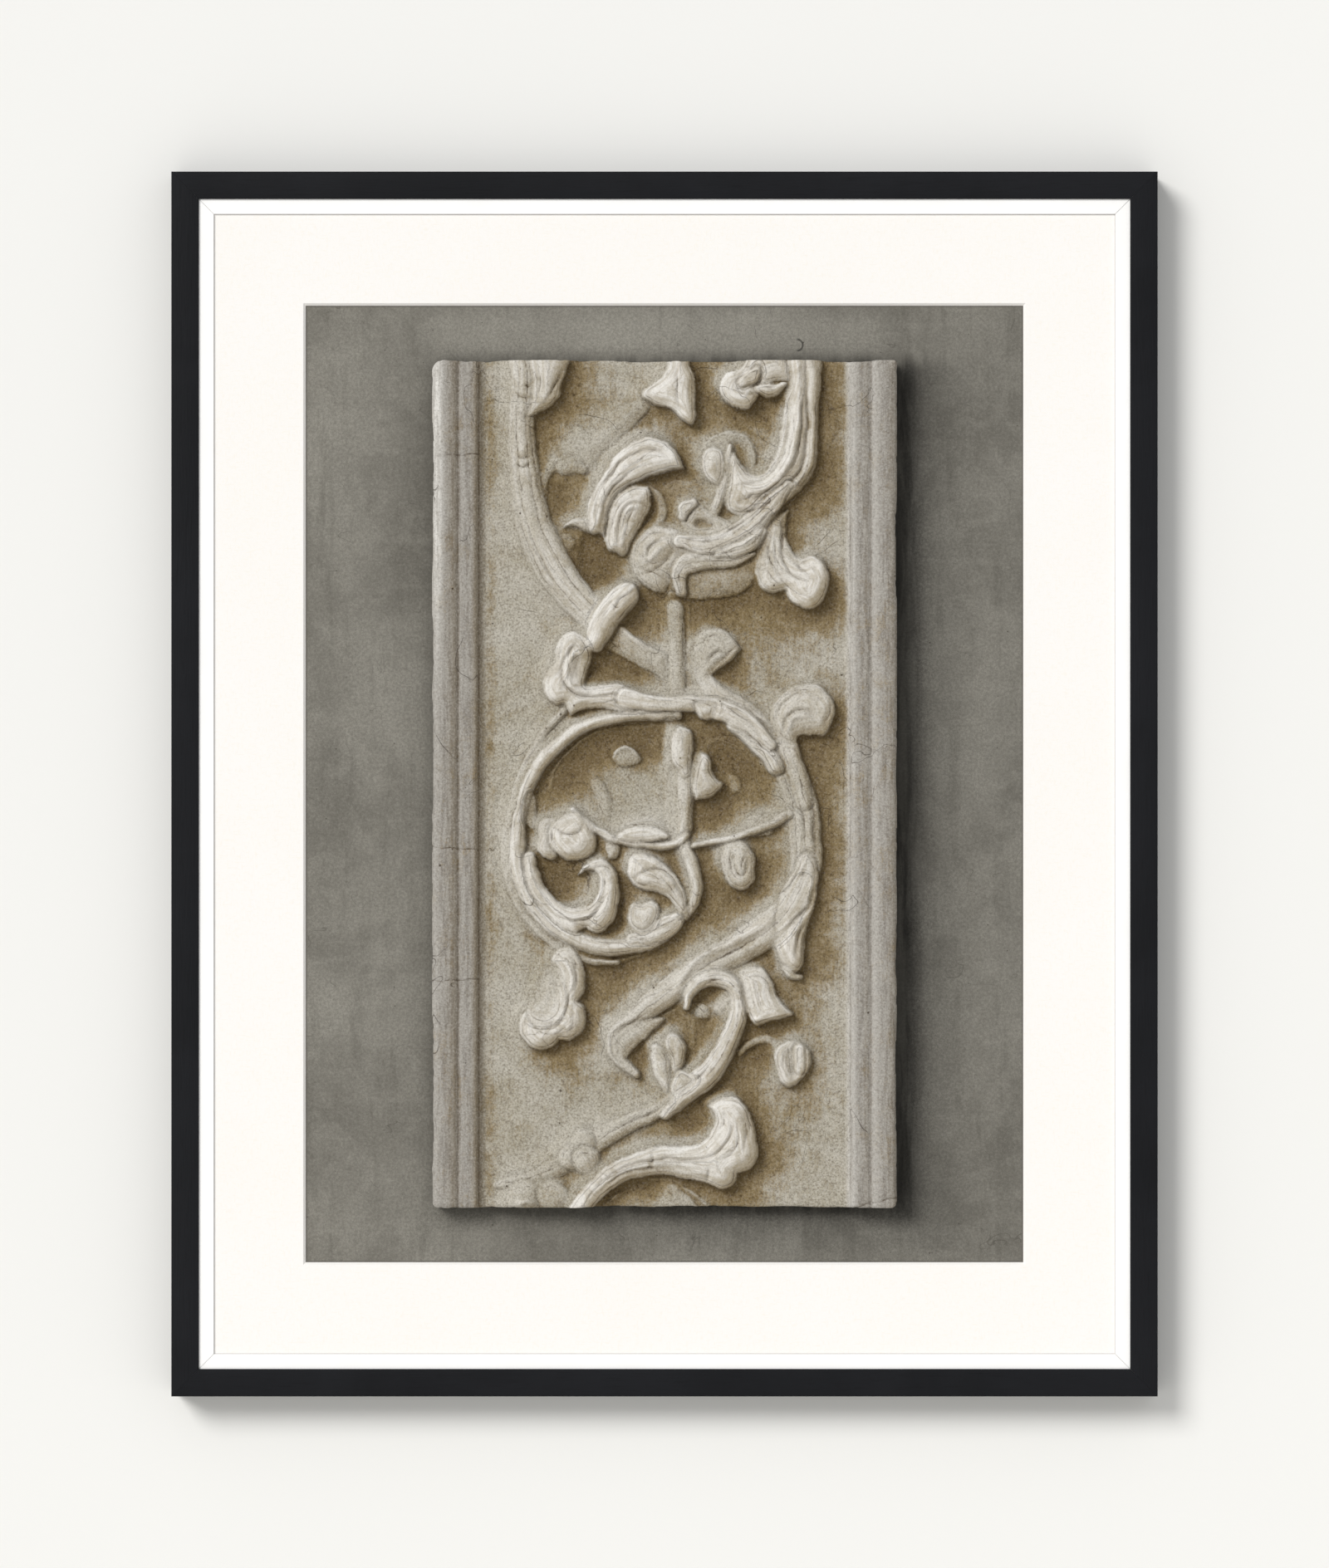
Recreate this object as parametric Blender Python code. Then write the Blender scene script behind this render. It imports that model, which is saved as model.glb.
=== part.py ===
# A framed relief: a cast plaster panel of leaf scrolls, fixed to a grey board behind a cream mat,
# in a black frame with a narrow white inner strip.
# Metres, +Z up. The front faces -Y. The origin is on the wall, behind the middle of the top rail.

from math import cos, pi, sin

import bmesh
import bpy
import numpy as np
from mathutils import Matrix, Vector

# Frame: the face is the rail's width seen from the front, and the rebate is behind the lip.
frame_width = 0.628
frame_height = 0.780
frame_depth = 0.030
rail_face = 0.0175
rebate_width = 0.005
lip_thickness = 0.0015
edge_radius = 0.0008
edge_steps = 3

# Sheets in the rebate, from the front: white strip, mat and mount board
fit_clearance = 0.0006
touching_gap = 0.0003
strip_showing = 0.0094
strip_thickness = 0.0010
window_width = 0.4572
window_height = 0.6096
mat_thickness = 0.0015
board_thickness = 0.005

# Relief panel, with a moulding of a roll, a groove, a band and a hollow slope down each side
panel_width = 0.295
panel_height = 0.538
ground_thickness = 0.0115
roll_width = 0.0165
roll_rise = 0.009
roll_roundness = 2.2
band_width = 0.012
band_rise = 0.0067
band_roundness = 3.0
groove_rise = 0.0045
slope_width = 0.0055
slope_power = 1.7
carving_rise = 0.0125
worn_edge = 0.0016
grid_pitch = 0.0024
panel_triangles = 8600

# The carving is drawn in millimetres from the middle of a panel of this size and greatest rise.
drawn_width = 295.0
drawn_height = 538.0
drawn_rise = 11.0
wave_rise = 0.25

# Places worked out from the sizes above
rail_body = rail_face - rebate_width
hang_drop = frame_height / 2 - rail_body / 2
sheet_width = frame_width - 2 * (rail_body + fit_clearance)
sheet_height = frame_height - 2 * (rail_body + fit_clearance)
strip_width = strip_showing + rebate_width - fit_clearance
strip_front = lip_thickness - frame_depth + touching_gap
mat_front = strip_front + strip_thickness + touching_gap
mat_back = mat_front + mat_thickness
board_front = mat_back + touching_gap
panel_back = board_front - touching_gap
moulding_width = roll_width + band_width + slope_width


def clear_scene():
    for item in list(bpy.data.objects):
        bpy.data.objects.remove(item, do_unlink=True)


def new_collection(name):
    collection = bpy.data.collections.new(name)
    bpy.context.scene.collection.children.link(collection)
    return collection


def material(name, colour, roughness):
    finish = bpy.data.materials.new(name)
    finish.use_nodes = True
    shader = finish.node_tree.nodes["Principled BSDF"]
    shader.inputs["Base Color"].default_value = (*colour, 1.0)
    shader.inputs["Roughness"].default_value = roughness
    shader.inputs["Metallic"].default_value = 0.0
    return finish


def add_object(name, mesh, finish, collection, parent):
    item = bpy.data.objects.new(name, mesh)
    collection.objects.link(item)
    item.parent = parent
    mesh.materials.clear()
    mesh.materials.append(finish)
    return item


def mesh_from(work, name):
    bmesh.ops.recalc_face_normals(work, faces=work.faces)
    mesh = bpy.data.meshes.new(name)
    work.to_mesh(mesh)
    work.free()
    return mesh


# Rails and strips: an outline drawn across the piece, extruded along it and mitred at both ends.
# In an outline, the first value runs inwards from the outer edge and the second runs back in depth.

def rail_outline():
    def rounded(centre, first_turn):
        turns = [first_turn + pi / 2 * step / edge_steps for step in range(edge_steps + 1)]
        return [(centre[0] + edge_radius * cos(turn), centre[1] + edge_radius * sin(turn)) for turn in turns]

    front = -frame_depth
    outer_corner = rounded((edge_radius, front + edge_radius), pi)
    inner_corner = rounded((rail_face - edge_radius, front + edge_radius), 3 * pi / 2)
    lip_back = front + lip_thickness
    rebate = [(rail_face, lip_back), (rail_body, lip_back), (rail_body, 0.0)]
    return [(0.0, 0.0)] + outer_corner + inner_corner + rebate


def strip_outline():
    strip_back = strip_front + strip_thickness
    return [(0.0, strip_back), (0.0, strip_front), (strip_width, strip_front), (strip_width, strip_back)]


def extruded(outline, length):
    drawing = bpy.data.curves.new("outline", "CURVE")
    drawing.dimensions = "2D"
    drawing.fill_mode = "BOTH"
    drawing.extrude = length / 2
    spline = drawing.splines.new("POLY")
    spline.points.add(len(outline) - 1)
    spline.use_cyclic_u = True
    for point, (inwards, depth) in zip(spline.points, outline):
        point.co = (inwards, depth, 0.0, 1.0)
    holder = bpy.data.objects.new("outline", drawing)
    bpy.context.scene.collection.objects.link(holder)
    bpy.context.view_layer.update()
    mesh = bpy.data.meshes.new_from_object(holder.evaluated_get(bpy.context.evaluated_depsgraph_get()))
    bpy.data.objects.remove(holder, do_unlink=True)
    bpy.data.curves.remove(drawing)
    work = bmesh.new()
    work.from_mesh(mesh)
    bpy.data.meshes.remove(mesh)
    bmesh.ops.remove_doubles(work, verts=work.verts, dist=0.00001)
    return work


def cut_mitres(work, length):
    # Each cut stands back by half the gap, so that two rails leave one gap between them.
    for end in (-1, 1):
        on_cut = Vector((0.0, 0.0, end * (length - touching_gap) / 2))
        outwards = Vector((1.0, 0.0, end))
        geometry = work.verts[:] + work.edges[:] + work.faces[:]
        bmesh.ops.bisect_plane(work, geom=geometry, dist=0.000001, plane_co=on_cut,
                               plane_no=outwards, clear_outer=True)
        open_edges = [edge for edge in work.edges if edge.is_boundary]
        bmesh.ops.contextual_create(work, geom=open_edges)


def mitred_ring(prefix, outline, width, height, finish, collection, parent):
    # Each piece is laid along the top, with its outer edge up, and then turned to its own side.
    lay_along_top = Matrix(((0, 0, 1, 0), (0, 1, 0, 0), (-1, 0, 0, 0), (0, 0, 0, 1)))
    sides = [("top", width, height, 0), ("left", height, width, -1),
             ("bottom", width, height, 2), ("right", height, width, 1)]
    for side, length, across, quarter_turns in sides:
        name = prefix + side
        work = extruded(outline, length)
        cut_mitres(work, length)
        lift = Matrix.Translation((0.0, 0.0, across / 2))
        turn = Matrix.Rotation(quarter_turns * pi / 2, 4, "Y")
        bmesh.ops.transform(work, matrix=turn @ lift @ lay_along_top, verts=work.verts)
        add_object(name, mesh_from(work, name), finish, collection, parent)


def box(width, height, front, back):
    work = bmesh.new()
    bmesh.ops.create_cube(work, size=1.0)
    bmesh.ops.scale(work, vec=(width, back - front, height), verts=work.verts)
    bmesh.ops.translate(work, vec=(0.0, (front + back) / 2, 0.0), verts=work.verts)
    return work


def cream_mat(collection, cutters, parent):
    sheet = mesh_from(box(sheet_width, sheet_height, mat_front, mat_back), "cream_mat")
    finish = material("cream_mat_board", (0.96, 0.94, 0.88), 0.9)
    mat = add_object("cream_mat", sheet, finish, collection, parent)
    # The window's sides slope in at 45 degrees, and its size is taken at the back of the mat.
    past = mat_thickness / 2
    work = box(window_width, window_height, mat_front - past, mat_back + past)
    for vertex in work.verts:
        outwards = mat_thickness + past if vertex.co.y < mat_front else -past
        vertex.co.x += outwards if vertex.co.x > 0 else -outwards
        vertex.co.z += outwards if vertex.co.z > 0 else -outwards
    cutter = bpy.data.objects.new("window_cutter", mesh_from(work, "window_cutter"))
    cutters.objects.link(cutter)
    cutter.parent = parent
    cutter.hide_render = True
    cutter.display_type = "WIRE"
    window = mat.modifiers.new("window", "BOOLEAN")
    window.operation = "DIFFERENCE"
    window.solver = "EXACT"
    window.object = cutter


def grey_mount_board(collection, parent):
    board = box(sheet_width, sheet_height, board_front, board_front + board_thickness)
    finish = material("grey_board", (0.21, 0.19, 0.17), 0.85)
    add_object("grey_mount_board", mesh_from(board, "grey_mount_board"), finish, collection, parent)


# Carving: every form is a path with a width along it, or a closed outline. It rises from the ground
# at a steep side of the given level, and its rounded, reeded or hollowed crown stands on that.

def smooth_step(value):
    held = np.clip(value, 0.0, 1.0)
    return held * held * (3 - 2 * held)


def curve_through(points, closed):
    # Catmull-Rom curve through the points
    p = np.asarray(points, float)
    if closed:
        p = np.vstack([p[-1], p, p[0], p[1]])
    else:
        p = np.vstack([2 * p[0] - p[1], p, 2 * p[-1] - p[-2]])
    t = np.linspace(0, 1, 14, endpoint=False)[None, :, None]
    a, b, c, d = p[:-3, None], p[1:-2, None], p[2:-1, None], p[3:, None]
    bend = 2 * a - 5 * b + 4 * c - d
    twist = 3 * b - a - 3 * c + d
    line = (0.5 * (2 * b + (c - a) * t + bend * t ** 2 + twist * t ** 3)).reshape(-1, 2)
    return line if closed else np.vstack([line, p[-2]])


def evenly_spaced(line, gap):
    run = np.concatenate([[0.0], np.cumsum(np.hypot(*np.diff(line, axis=0).T))])
    marks = np.linspace(0, run[-1], max(8, int(run[-1] / gap)))
    points = np.column_stack([np.interp(marks, run, line[:, 0]), np.interp(marks, run, line[:, 1])])
    return points, run[-1]


def along(values, share):
    # Values given from the start to the end of a path, eased from each to the next
    values = np.atleast_1d(np.asarray(values, float))
    place = share * (len(values) - 1)
    before = np.clip(place.astype(int), 0, max(len(values) - 2, 0))
    after = np.minimum(before + 1, len(values) - 1)
    mix = smooth_step(place - before)
    return values[before] * (1 - mix) + values[after] * mix


class Carving:
    # Heights in millimetres above the ground, over a grid of places in millimetres
    path_gap = 1.3
    margin = 6.0
    side_run = 1.5
    side_power = 0.6
    carved_from = 1.5
    overlap_cut = 1.5
    cut_round_depth = 1.0
    cut_round_width = 0.8
    foot_share = 0.8
    foot_rise = 0.9
    foot_width = 1.6
    foot_reach = 5.0

    def __init__(self, across, up, ground):
        self.across = across
        self.up = up
        self.height = ground

    def window(self, points, margin):
        left, right = np.searchsorted(self.across, [points[:, 0].min() - margin, points[:, 0].max() + margin])
        low, high = np.searchsorted(self.up, [points[:, 1].min() - margin, points[:, 1].max() + margin])
        x, z = np.meshgrid(self.across[left:right], self.up[low:high])
        return (slice(low, high), slice(left, right)), np.stack([x.ravel(), z.ravel()], 1), x.shape

    def lay(self, window, size, edge, top):
        # Where two forms cross, the later one stands on the earlier and has a narrow cut round it.
        old = self.height[window].ravel()
        outside = np.clip(edge, 0, None)
        over = np.maximum(top, old - self.overlap_cut)
        cut = self.cut_round_depth * np.exp(-outside / self.cut_round_width)
        cut_round = old - cut * smooth_step((old - self.carved_from) / 2)
        foot = np.where(outside < self.foot_reach, self.foot_rise * np.exp(-outside / self.foot_width), 0)
        on_ground = old + self.foot_share * np.maximum(0, foot - np.maximum(old, 0))
        beside = np.where(old > self.carved_from, cut_round, on_ground)
        self.height[window] = np.where(edge < 0, over, beside).reshape(size)

    def near_path(self, path, half):
        line, length = evenly_spaced(curve_through(path, False), self.path_gap)
        window, points, size = self.window(line, np.max(half) + self.margin)
        near = ((points[:, None, :] - line[None]) ** 2).sum(2).argmin(1)
        last = len(line) - 1
        direction = np.gradient(line, axis=0)
        direction /= np.linalg.norm(direction, axis=1)[:, None] + 1e-9
        heading = direction[near]
        offset = points - line[near]
        ahead = (offset * heading).sum(1)
        past_end = np.where(near == 0, -ahead, np.where(near == last, ahead, 0)).clip(0)
        share = np.clip((near + np.clip(ahead * last / length, -0.5, 0.5)) / last, 0, 1)
        side = heading[:, 0] * offset[:, 1] - heading[:, 1] * offset[:, 0]
        return window, size, share, side, np.hypot(side, past_end)

    def ribbon(self, path, half, level, crown, reeds, seam, section):
        window, size, share, side, off = self.near_path(path, half)
        width = along(half, share)
        across = np.clip(off / np.maximum(width, 0.001), 0, 1)
        body = section(across)
        if reeds > 1:
            furrow = 1 - np.abs(np.sin(pi * reeds * (across * np.sign(side) + 1) / 2)) ** 0.6
            body = body * (1 - seam * furrow)
        rise = smooth_step((width - off) / self.side_run) ** self.side_power
        self.lay(window, size, off - width, along(level, share) * rise + along(crown, share) * body)

    def stem(self, path, half, level, crown, reeds, seam=0.45):
        self.ribbon(path, half, level, crown, reeds, seam, lambda u: (1 - u ** 2.4) ** 0.6)

    def leaf(self, path, half, level, crown, reeds, cup=0.35):
        self.ribbon(path, half, level, crown, reeds, 0.5,
                    lambda u: (1 - cup + cup * u ** 2) * (1 - u ** 8) ** 0.5)

    def boss(self, x, z, radius, level, crown):
        self.ribbon([(x - 0.01, z), (x + 0.01, z)], [radius], level, crown, 1, 0.0,
                    lambda u: (1 - u ** 2.2) ** 0.6)

    def form(self, outline, level, crown, tilt=(0, 0), soft=4.0):
        line, length = evenly_spaced(curve_through(outline, True), self.path_gap)
        window, points, size = self.window(line, self.margin)
        apart = np.sqrt(((points[:, None, :] - line[None]) ** 2).sum(2).min(1))
        after = np.roll(line, -1, 0)
        crosses = (line[None, :, 1] > points[:, None, 1]) != (after[None, :, 1] > points[:, None, 1])
        climb = np.where(after[:, 1] == line[:, 1], 1e-9, after[:, 1] - line[:, 1])
        meets = line[:, 0] + (points[:, None, 1] - line[:, 1]) * (after[:, 0] - line[:, 0]) / climb
        inside = (crosses & (points[:, None, 0] < meets)).sum(1) % 2 == 1
        depth = np.where(inside, apart, 0)
        rise = smooth_step(depth / self.side_run) ** self.side_power
        slope = (points - line.mean(0)) @ np.asarray(tilt, float)
        top = (level + slope) * rise + crown * (1 - np.exp(-depth / soft))
        self.lay(window, size, np.where(inside, -apart, apart), top)

    def groove(self, path, half, depth):
        window, size, share, side, off = self.near_path(path, [half])
        fall = np.clip(1 - (off / half) ** 2, 0, 1) ** 1.2
        faded_ends = np.sin(pi * np.clip(share, 0.04, 0.96)) ** 0.35
        self.height[window] -= (depth * fall * faded_ends).reshape(size)

    def rib(self, path, half, rise):
        self.groove(path, half, -rise)

    def hollow(self, path, half, depth):
        window, size, share, side, off = self.near_path(path, half)
        fall = np.clip(1 - (off / along(half, share)) ** 2, 0, 1) ** 1.5
        self.height[window] -= (depth * fall).reshape(size)


# A point given twice is a sharp corner of an outline.

def low_forms(clay):
    # the ground sinks where it is shut in by the carving
    clay.hollow([(-47, 154), (-45, 141), (-37, 133), (-30, 129)], [8, 11, 12, 7], 3.6)
    clay.hollow([(-64, 184), (-60, 176)], [9, 8], 1.4)
    clay.hollow([(0, 188), (2, 175), (0, 166)], [9, 11, 6], 2.2)
    clay.hollow([(52, 236), (66, 236)], [14, 12], 1.6)
    clay.hollow([(26, 164), (30, 163)], [5], 1.5)
    clay.hollow([(-42, 76), (-30, 70), (-14, 66)], [9, 8, 6], 2.4)
    clay.hollow([(-14, 108), (-8, 100)], [11, 9], 1.6)
    clay.hollow([(40, 70), (44, 76)], [8, 7], 1.4)
    clay.hollow([(90, 24), (96, 18)], [10, 9], 1.4)
    clay.hollow([(-56, 8), (-44, 18), (-10, 24)], [11, 13, 13], 2.2)
    clay.hollow([(-74, -62), (-66, -70), (-60, -62)], [12, 11, 12], 2.6)
    clay.hollow([(-25, -60), (-25, -90)], [6, 8], 2.0)
    clay.hollow([(38, 14), (46, 6)], [9, 9], 1.8)
    clay.hollow([(34, -14), (44, -12)], [9, 8], 1.5)
    clay.hollow([(62, -52), (58, -72), (44, -74)], [9, 9, 8], 1.8)
    clay.hollow([(8, -54), (12, -60)], [5], 1.5)
    clay.hollow([(-36, -122), (-20, -118)], [10, 9], 2.2)
    clay.hollow([(-13, -158), (-14, -172), (-13, -182)], [6, 8, 7], 2.6)
    clay.hollow([(22, -140), (31, -138), (39, -131)], [6, 7, 5], 2.8)
    clay.hollow([(26, -154), (24, -170)], [8, 7], 1.6)
    clay.hollow([(56, -172), (66, -178)], [8, 7], 2.0)
    clay.hollow([(-22, -258), (0, -260)], [9, 9], 1.8)
    clay.hollow([(20, -214), (10, -222)], [10, 8], 1.4)
    # slopes of the ground that rise to meet the carving
    clay.form([(-70, 204), (-62, 219), (-54, 226), (-45, 222), (-36, 232), (-26, 240), (-13, 245),
              (-10, 238), (-20, 227), (-30, 218), (-42, 208), (-45, 201), (-55, 197), (-65, 197)], 1.2,
              1.6, (0, 0.02))
    clay.form([(-34, 0), (-26, 6), (-16, 2), (-6, -4), (2, -14), (4, -30), (-20, -34), (-37, -30),
              (-33, -14)], 1.2, 1.0, (0, -0.07), 8)
    clay.form([(42, 55), (60, 56), (72, 60), (78, 40), (70, 26), (56, 36)], 0.8, 1.2)
    clay.form([(20, -100), (44, -92), (66, -84), (72, -96), (48, -108), (24, -116)], 0.8, 1.0)
    clay.stem([(-77, 172), (-78, 190), (-71, 203), (-60, 207)], [2.6, 3, 3.5, 2], 1.0, 1.6, 1)
    clay.form([(-70, 202), (-64, 206), (-56, 206), (-50, 202), (-50, 198), (-58, 197), (-66, 197)],
              2.0, 1.4)
    clay.form([(-64, 162), (-58, 168), (-50, 169), (-44, 165), (-43, 159), (-43, 159), (-51, 161),
              (-58, 164)], 4, 1.5)
    clay.form([(-68, 150), (-63, 158), (-57, 155), (-60, 149)], 1.0, 1.2)
    clay.form([(20, 204), (22, 213), (29, 220), (38, 224), (48, 222.5), (55, 216), (58, 207), (54, 197),
              (44, 190), (32, 188), (24, 195)], 1.6, 1.2, (0, 0), 4)
    clay.hollow([(47, 213), (49, 203)], [8, 7], 2.2)
    clay.rib([(22, 203), (24, 213), (31, 221), (41, 223.5), (51, 221), (57, 213), (58, 204)], 1.4, 1.0)
    clay.form([(100, 243), (108, 233), (107, 222), (104, 213), (98, 214), (97, 232)], 0.5, 0.6)


def left_vine(clay):
    clay.stem([(-101, 274), (-101, 240), (-100, 200)], [3.2, 3.2, 2], 0.5, 0.8, 1)
    clay.stem([(-90, 274), (-90, 240), (-90, 208), (-87, 182), (-80, 158), (-70, 137), (-57, 119),
              (-44, 106)], [7.5, 7.5, 8, 9.5, 11, 12, 11.5, 10], [2.6, 2.6, 2.2, 2.4, 2.6], 3.4, 3)
    clay.groove([(-89, 253), (-87, 251.5), (-84, 251.5)], 0.9, 1.2)
    clay.groove([(-93, 246), (-89, 244.5), (-86, 245)], 0.9, 1.2)
    clay.groove([(-94, 209), (-90, 207), (-85, 209)], 1.0, 1.4)
    clay.groove([(-94, 203), (-90, 201), (-85, 204)], 1.0, 1.4)
    clay.groove([(-98, 200), (-93, 172), (-85, 148), (-76, 130), (-62, 114), (-50, 103)], 1.5, 1.2)


def top_fragments(clay):
    clay.form([(-83, 276), (-83, 255), (-84, 241), (-87, 233), (-87, 233), (-78, 237), (-70, 242),
              (-66, 248), (-65, 256), (-62, 265), (-60, 276)], 5.5, 2.2, (-0.03, 0))
    clay.groove([(-65, 263), (-69, 254), (-75, 245)], 1.3, 1.6)
    clay.groove([(-79, 266), (-79, 252), (-82, 243)], 1.0, 0.9)
    clay.form([(3, 276), (3, 266), (-2, 258), (-9, 253), (-13, 249), (-13, 245), (-6, 241), (2, 239),
              (7, 236), (11, 232), (17, 228), (17, 228), (20, 234), (19, 247), (20, 258), (17, 266),
              (17, 276)], 6.5, 2.4, (0.02, 0))
    clay.groove([(8, 268), (8, 254), (9, 242), (13, 232)], 1.2, 0.9)
    clay.form([(80, 278), (56, 276), (48, 264), (39, 260), (35, 252), (37, 245), (43, 240), (52, 238),
              (58, 243), (61, 249), (70, 256), (80, 257)], 5.8, 2.0, (-0.03, -0.03))
    clay.groove([(62, 268), (62, 258), (57, 252), (50, 251), (47, 255), (50, 259)], 1.1, 1.6)
    clay.groove([(44, 253), (50, 247), (58, 247)], 1.1, 1.4)
    clay.leaf([(50, 255), (55, 258), (59, 262)], [3, 4.5, 2.5], 7.4, 1.8, 1)
    clay.form([(57, 252), (60, 247), (67, 245), (74, 249), (78, 255), (78, 255), (68, 254)], 6.6, 2.4)


def right_arc(clay):
    clay.form([(98, 278), (98, 245), (98, 218), (96, 202), (90, 190), (82, 182), (74, 175), (62, 171),
              (50, 170), (42, 172), (38, 179), (41, 190), (40, 205), (44, 211), (49, 203), (54, 197),
              (62, 197), (68, 204), (73, 215), (75, 230), (77, 245), (80, 256), (80, 278)], 4.6, 3.6,
              (-0.012, 0.0), 5)
    clay.groove([(90, 276), (90, 250), (91, 230), (90, 212), (86, 199), (77, 188), (66, 182),
                (54, 182)], 1.5, 2.0)
    clay.rib([(84, 276), (84, 250), (84, 230), (82, 213), (76, 200), (66, 190), (55, 186)], 3.0, 1.8)
    clay.groove([(78, 244), (79, 232), (78, 216), (72, 203), (64, 194), (54, 190), (47, 189)], 1.3, 2.0)
    clay.rib([(95, 262), (95, 235), (95, 215), (92, 202), (84, 190), (74, 181), (62, 176), (50, 175)],
             2.6, 1.4)
    clay.groove([(72, 190), (64, 185), (58, 181)], 1.0, 1.3)
    clay.groove([(80, 208), (82, 225), (82, 240)], 0.9, 0.9)


def upper_nest(clay):
    clay.form([(-21, 150), (-21, 138), (-16, 128), (-6, 121.5), (12, 118.5), (32, 119), (48, 122),
              (57, 131), (60, 143), (60, 156), (44, 163), (18, 166), (-6, 163), (-18, 158)], 2.6, 2.2,
              (0, 0), 9)
    clay.form([(0, 190), (10, 193), (22, 190), (34, 184), (38, 172), (34, 160), (20, 157), (6, 160),
              (-3, 168), (-2, 180)], 1.2, 1.0, (0, 0.03), 7)
    clay.stem([(-9, 188), (-4, 183), (-1, 176), (-2, 169), (-6, 164)], [1.6, 2.6, 3, 2.8, 1.6], 2.4, 1.2,
              1)
    clay.stem([(42, 214), (38, 200), (36, 186), (32, 174), (25, 165), (17, 160)], [1.6, 2.2, 2.8, 3, 4,
              4], 3.8, 2.2, 1)
    clay.form([(24, 206), (24.5, 198), (28, 192), (33, 189), (36.5, 194), (38, 203), (36, 211),
              (31, 213), (26, 211)], 5.0, 2.2)
    clay.form([(10, 167), (10, 174), (14, 179), (20, 179.5), (25, 176), (31, 172), (37, 168), (43, 163),
              (38, 158), (28, 157), (19, 158), (13, 162)], 3.8, 2.0, (-0.02, 0.03), 4)
    clay.hollow([(22, 164.5), (29, 163)], [4.5, 3.5], 2.8)
    clay.leaf([(11.5, 170), (14, 176), (19, 179)], [2.5, 4, 2.5], 5.2, 2.0, 1)
    clay.groove([(13, 163), (15, 170), (19, 174), (24, 174)], 0.9, 1.3)
    clay.form([(-20.5, 140), (-20, 150), (-15, 158), (-8, 163.5), (0, 163.5), (8, 161), (14, 156),
              (12, 149), (8.5, 143), (6, 135), (3, 127), (0, 121.5), (-8, 122.5), (-16, 129)], 4.6, 2.6,
              (0, 0.03), 6)
    clay.groove([(-10, 145), (-9, 151), (-5, 154.5), (-1.5, 155)], 0.9, 1.8)
    clay.groove([(-17, 133), (-8, 135), (0, 141), (6, 149)], 1.3, 1.2)
    clay.groove([(-18, 145), (-14, 154), (-6, 159.5), (5, 158)], 1.2, 1.1)
    clay.rib([(-15, 139), (-8, 144), (-3, 150), (3, 153)], 1.6, 0.9)
    clay.leaf([(11, 122), (9, 132), (13, 139), (22, 141), (33, 141.5), (45, 142), (57, 146)], [3, 4.5, 6,
              5.5, 4.5, 3, 1], 5.2, 2.6, 2)
    clay.groove([(13, 136), (17, 138), (20, 136)], 0.8, 1.6)
    clay.leaf([(10, 154), (22, 151.5), (34, 152.5), (46, 157.5), (60, 168), (79, 189)], [4, 5.5, 6, 6.5,
              6, 2.5], 5.6, 3.0, 3)
    clay.groove([(15, 161), (24, 156.5), (35, 157.5), (46, 163), (57, 172)], 0.9, 1.6)
    clay.leaf([(34, 145.5), (44, 148), (54, 152), (63, 161)], [1.6, 3.8, 4.2, 2], 6.6, 2.4, 2)
    clay.form([(-47, 160), (-49, 171), (-46, 184), (-40, 196), (-32, 207), (-22, 216), (-11, 220),
              (-1, 217.5), (6, 212), (10, 206), (12, 200), (12, 200), (3, 199), (-7, 196.5), (-17, 192),
              (-26, 187), (-33, 179), (-37.5, 168), (-38, 156), (-38, 156), (-42, 160)], 6.6, 3.0, (0.0,
              0.02), 4)
    clay.groove([(-44, 170), (-41, 186), (-32, 200), (-20, 209), (-8, 212), (3, 207)], 1.2, 1.6)
    clay.groove([(-41, 164), (-38, 179), (-31, 190), (-20, 198.5), (-10, 203)], 1.1, 1.4)
    clay.groove([(-38, 190), (-30, 202), (-22, 206)], 0.9, 1.0)
    clay.rib([(-30, 209), (-18, 215), (-6, 215)], 1.4, 0.8)
    clay.form([(-36.5, 150), (-36.5, 164), (-34, 176), (-28, 184.5), (-19, 188.5), (-10, 188.5),
              (-8, 184), (-8, 184), (-9, 176), (-13, 167), (-18, 160), (-22, 152), (-25, 145.5),
              (-31, 147)], 5.6, 2.6, (0, 0.02), 4)
    clay.groove([(-10, 175), (-15, 178.5), (-22, 177.5), (-28, 169), (-30, 152)], 1.3, 1.8)
    clay.groove([(-13, 175), (-19, 173.5), (-24, 165), (-26, 151)], 0.9, 1.1)
    clay.groove([(-33, 173), (-34, 162), (-34, 152)], 0.9, 1.0)
    clay.rib([(-25, 172), (-20, 176), (-14, 174)], 1.1, 0.8)


def hanging_right_leaf(clay):
    clay.form([(66, 167), (60, 152), (58, 143), (58, 134), (60, 126), (65, 122), (71, 121), (77, 123),
              (77, 123), (79, 118), (85, 113), (92, 111), (99, 115), (103, 122), (105, 130), (103,
              137), (99, 142), (93, 145), (87, 143), (81, 147), (77, 156), (78, 168), (79, 174)], 4.6,
              3.2, (0.05, -0.06), 5)
    clay.groove([(76, 168), (74, 152), (75, 141), (81, 133), (89, 128)], 1.3, 1.8)
    clay.groove([(68, 160), (66, 148), (69, 137), (78, 128)], 1.2, 1.4)
    clay.groove([(84, 143), (88, 136), (95, 131)], 1.1, 1.4)
    clay.groove([(71, 162), (70, 148), (72, 138), (80, 130)], 0.9, 1.0)
    clay.hollow([(90, 141), (96, 137)], [4, 3], 1.2)


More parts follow.
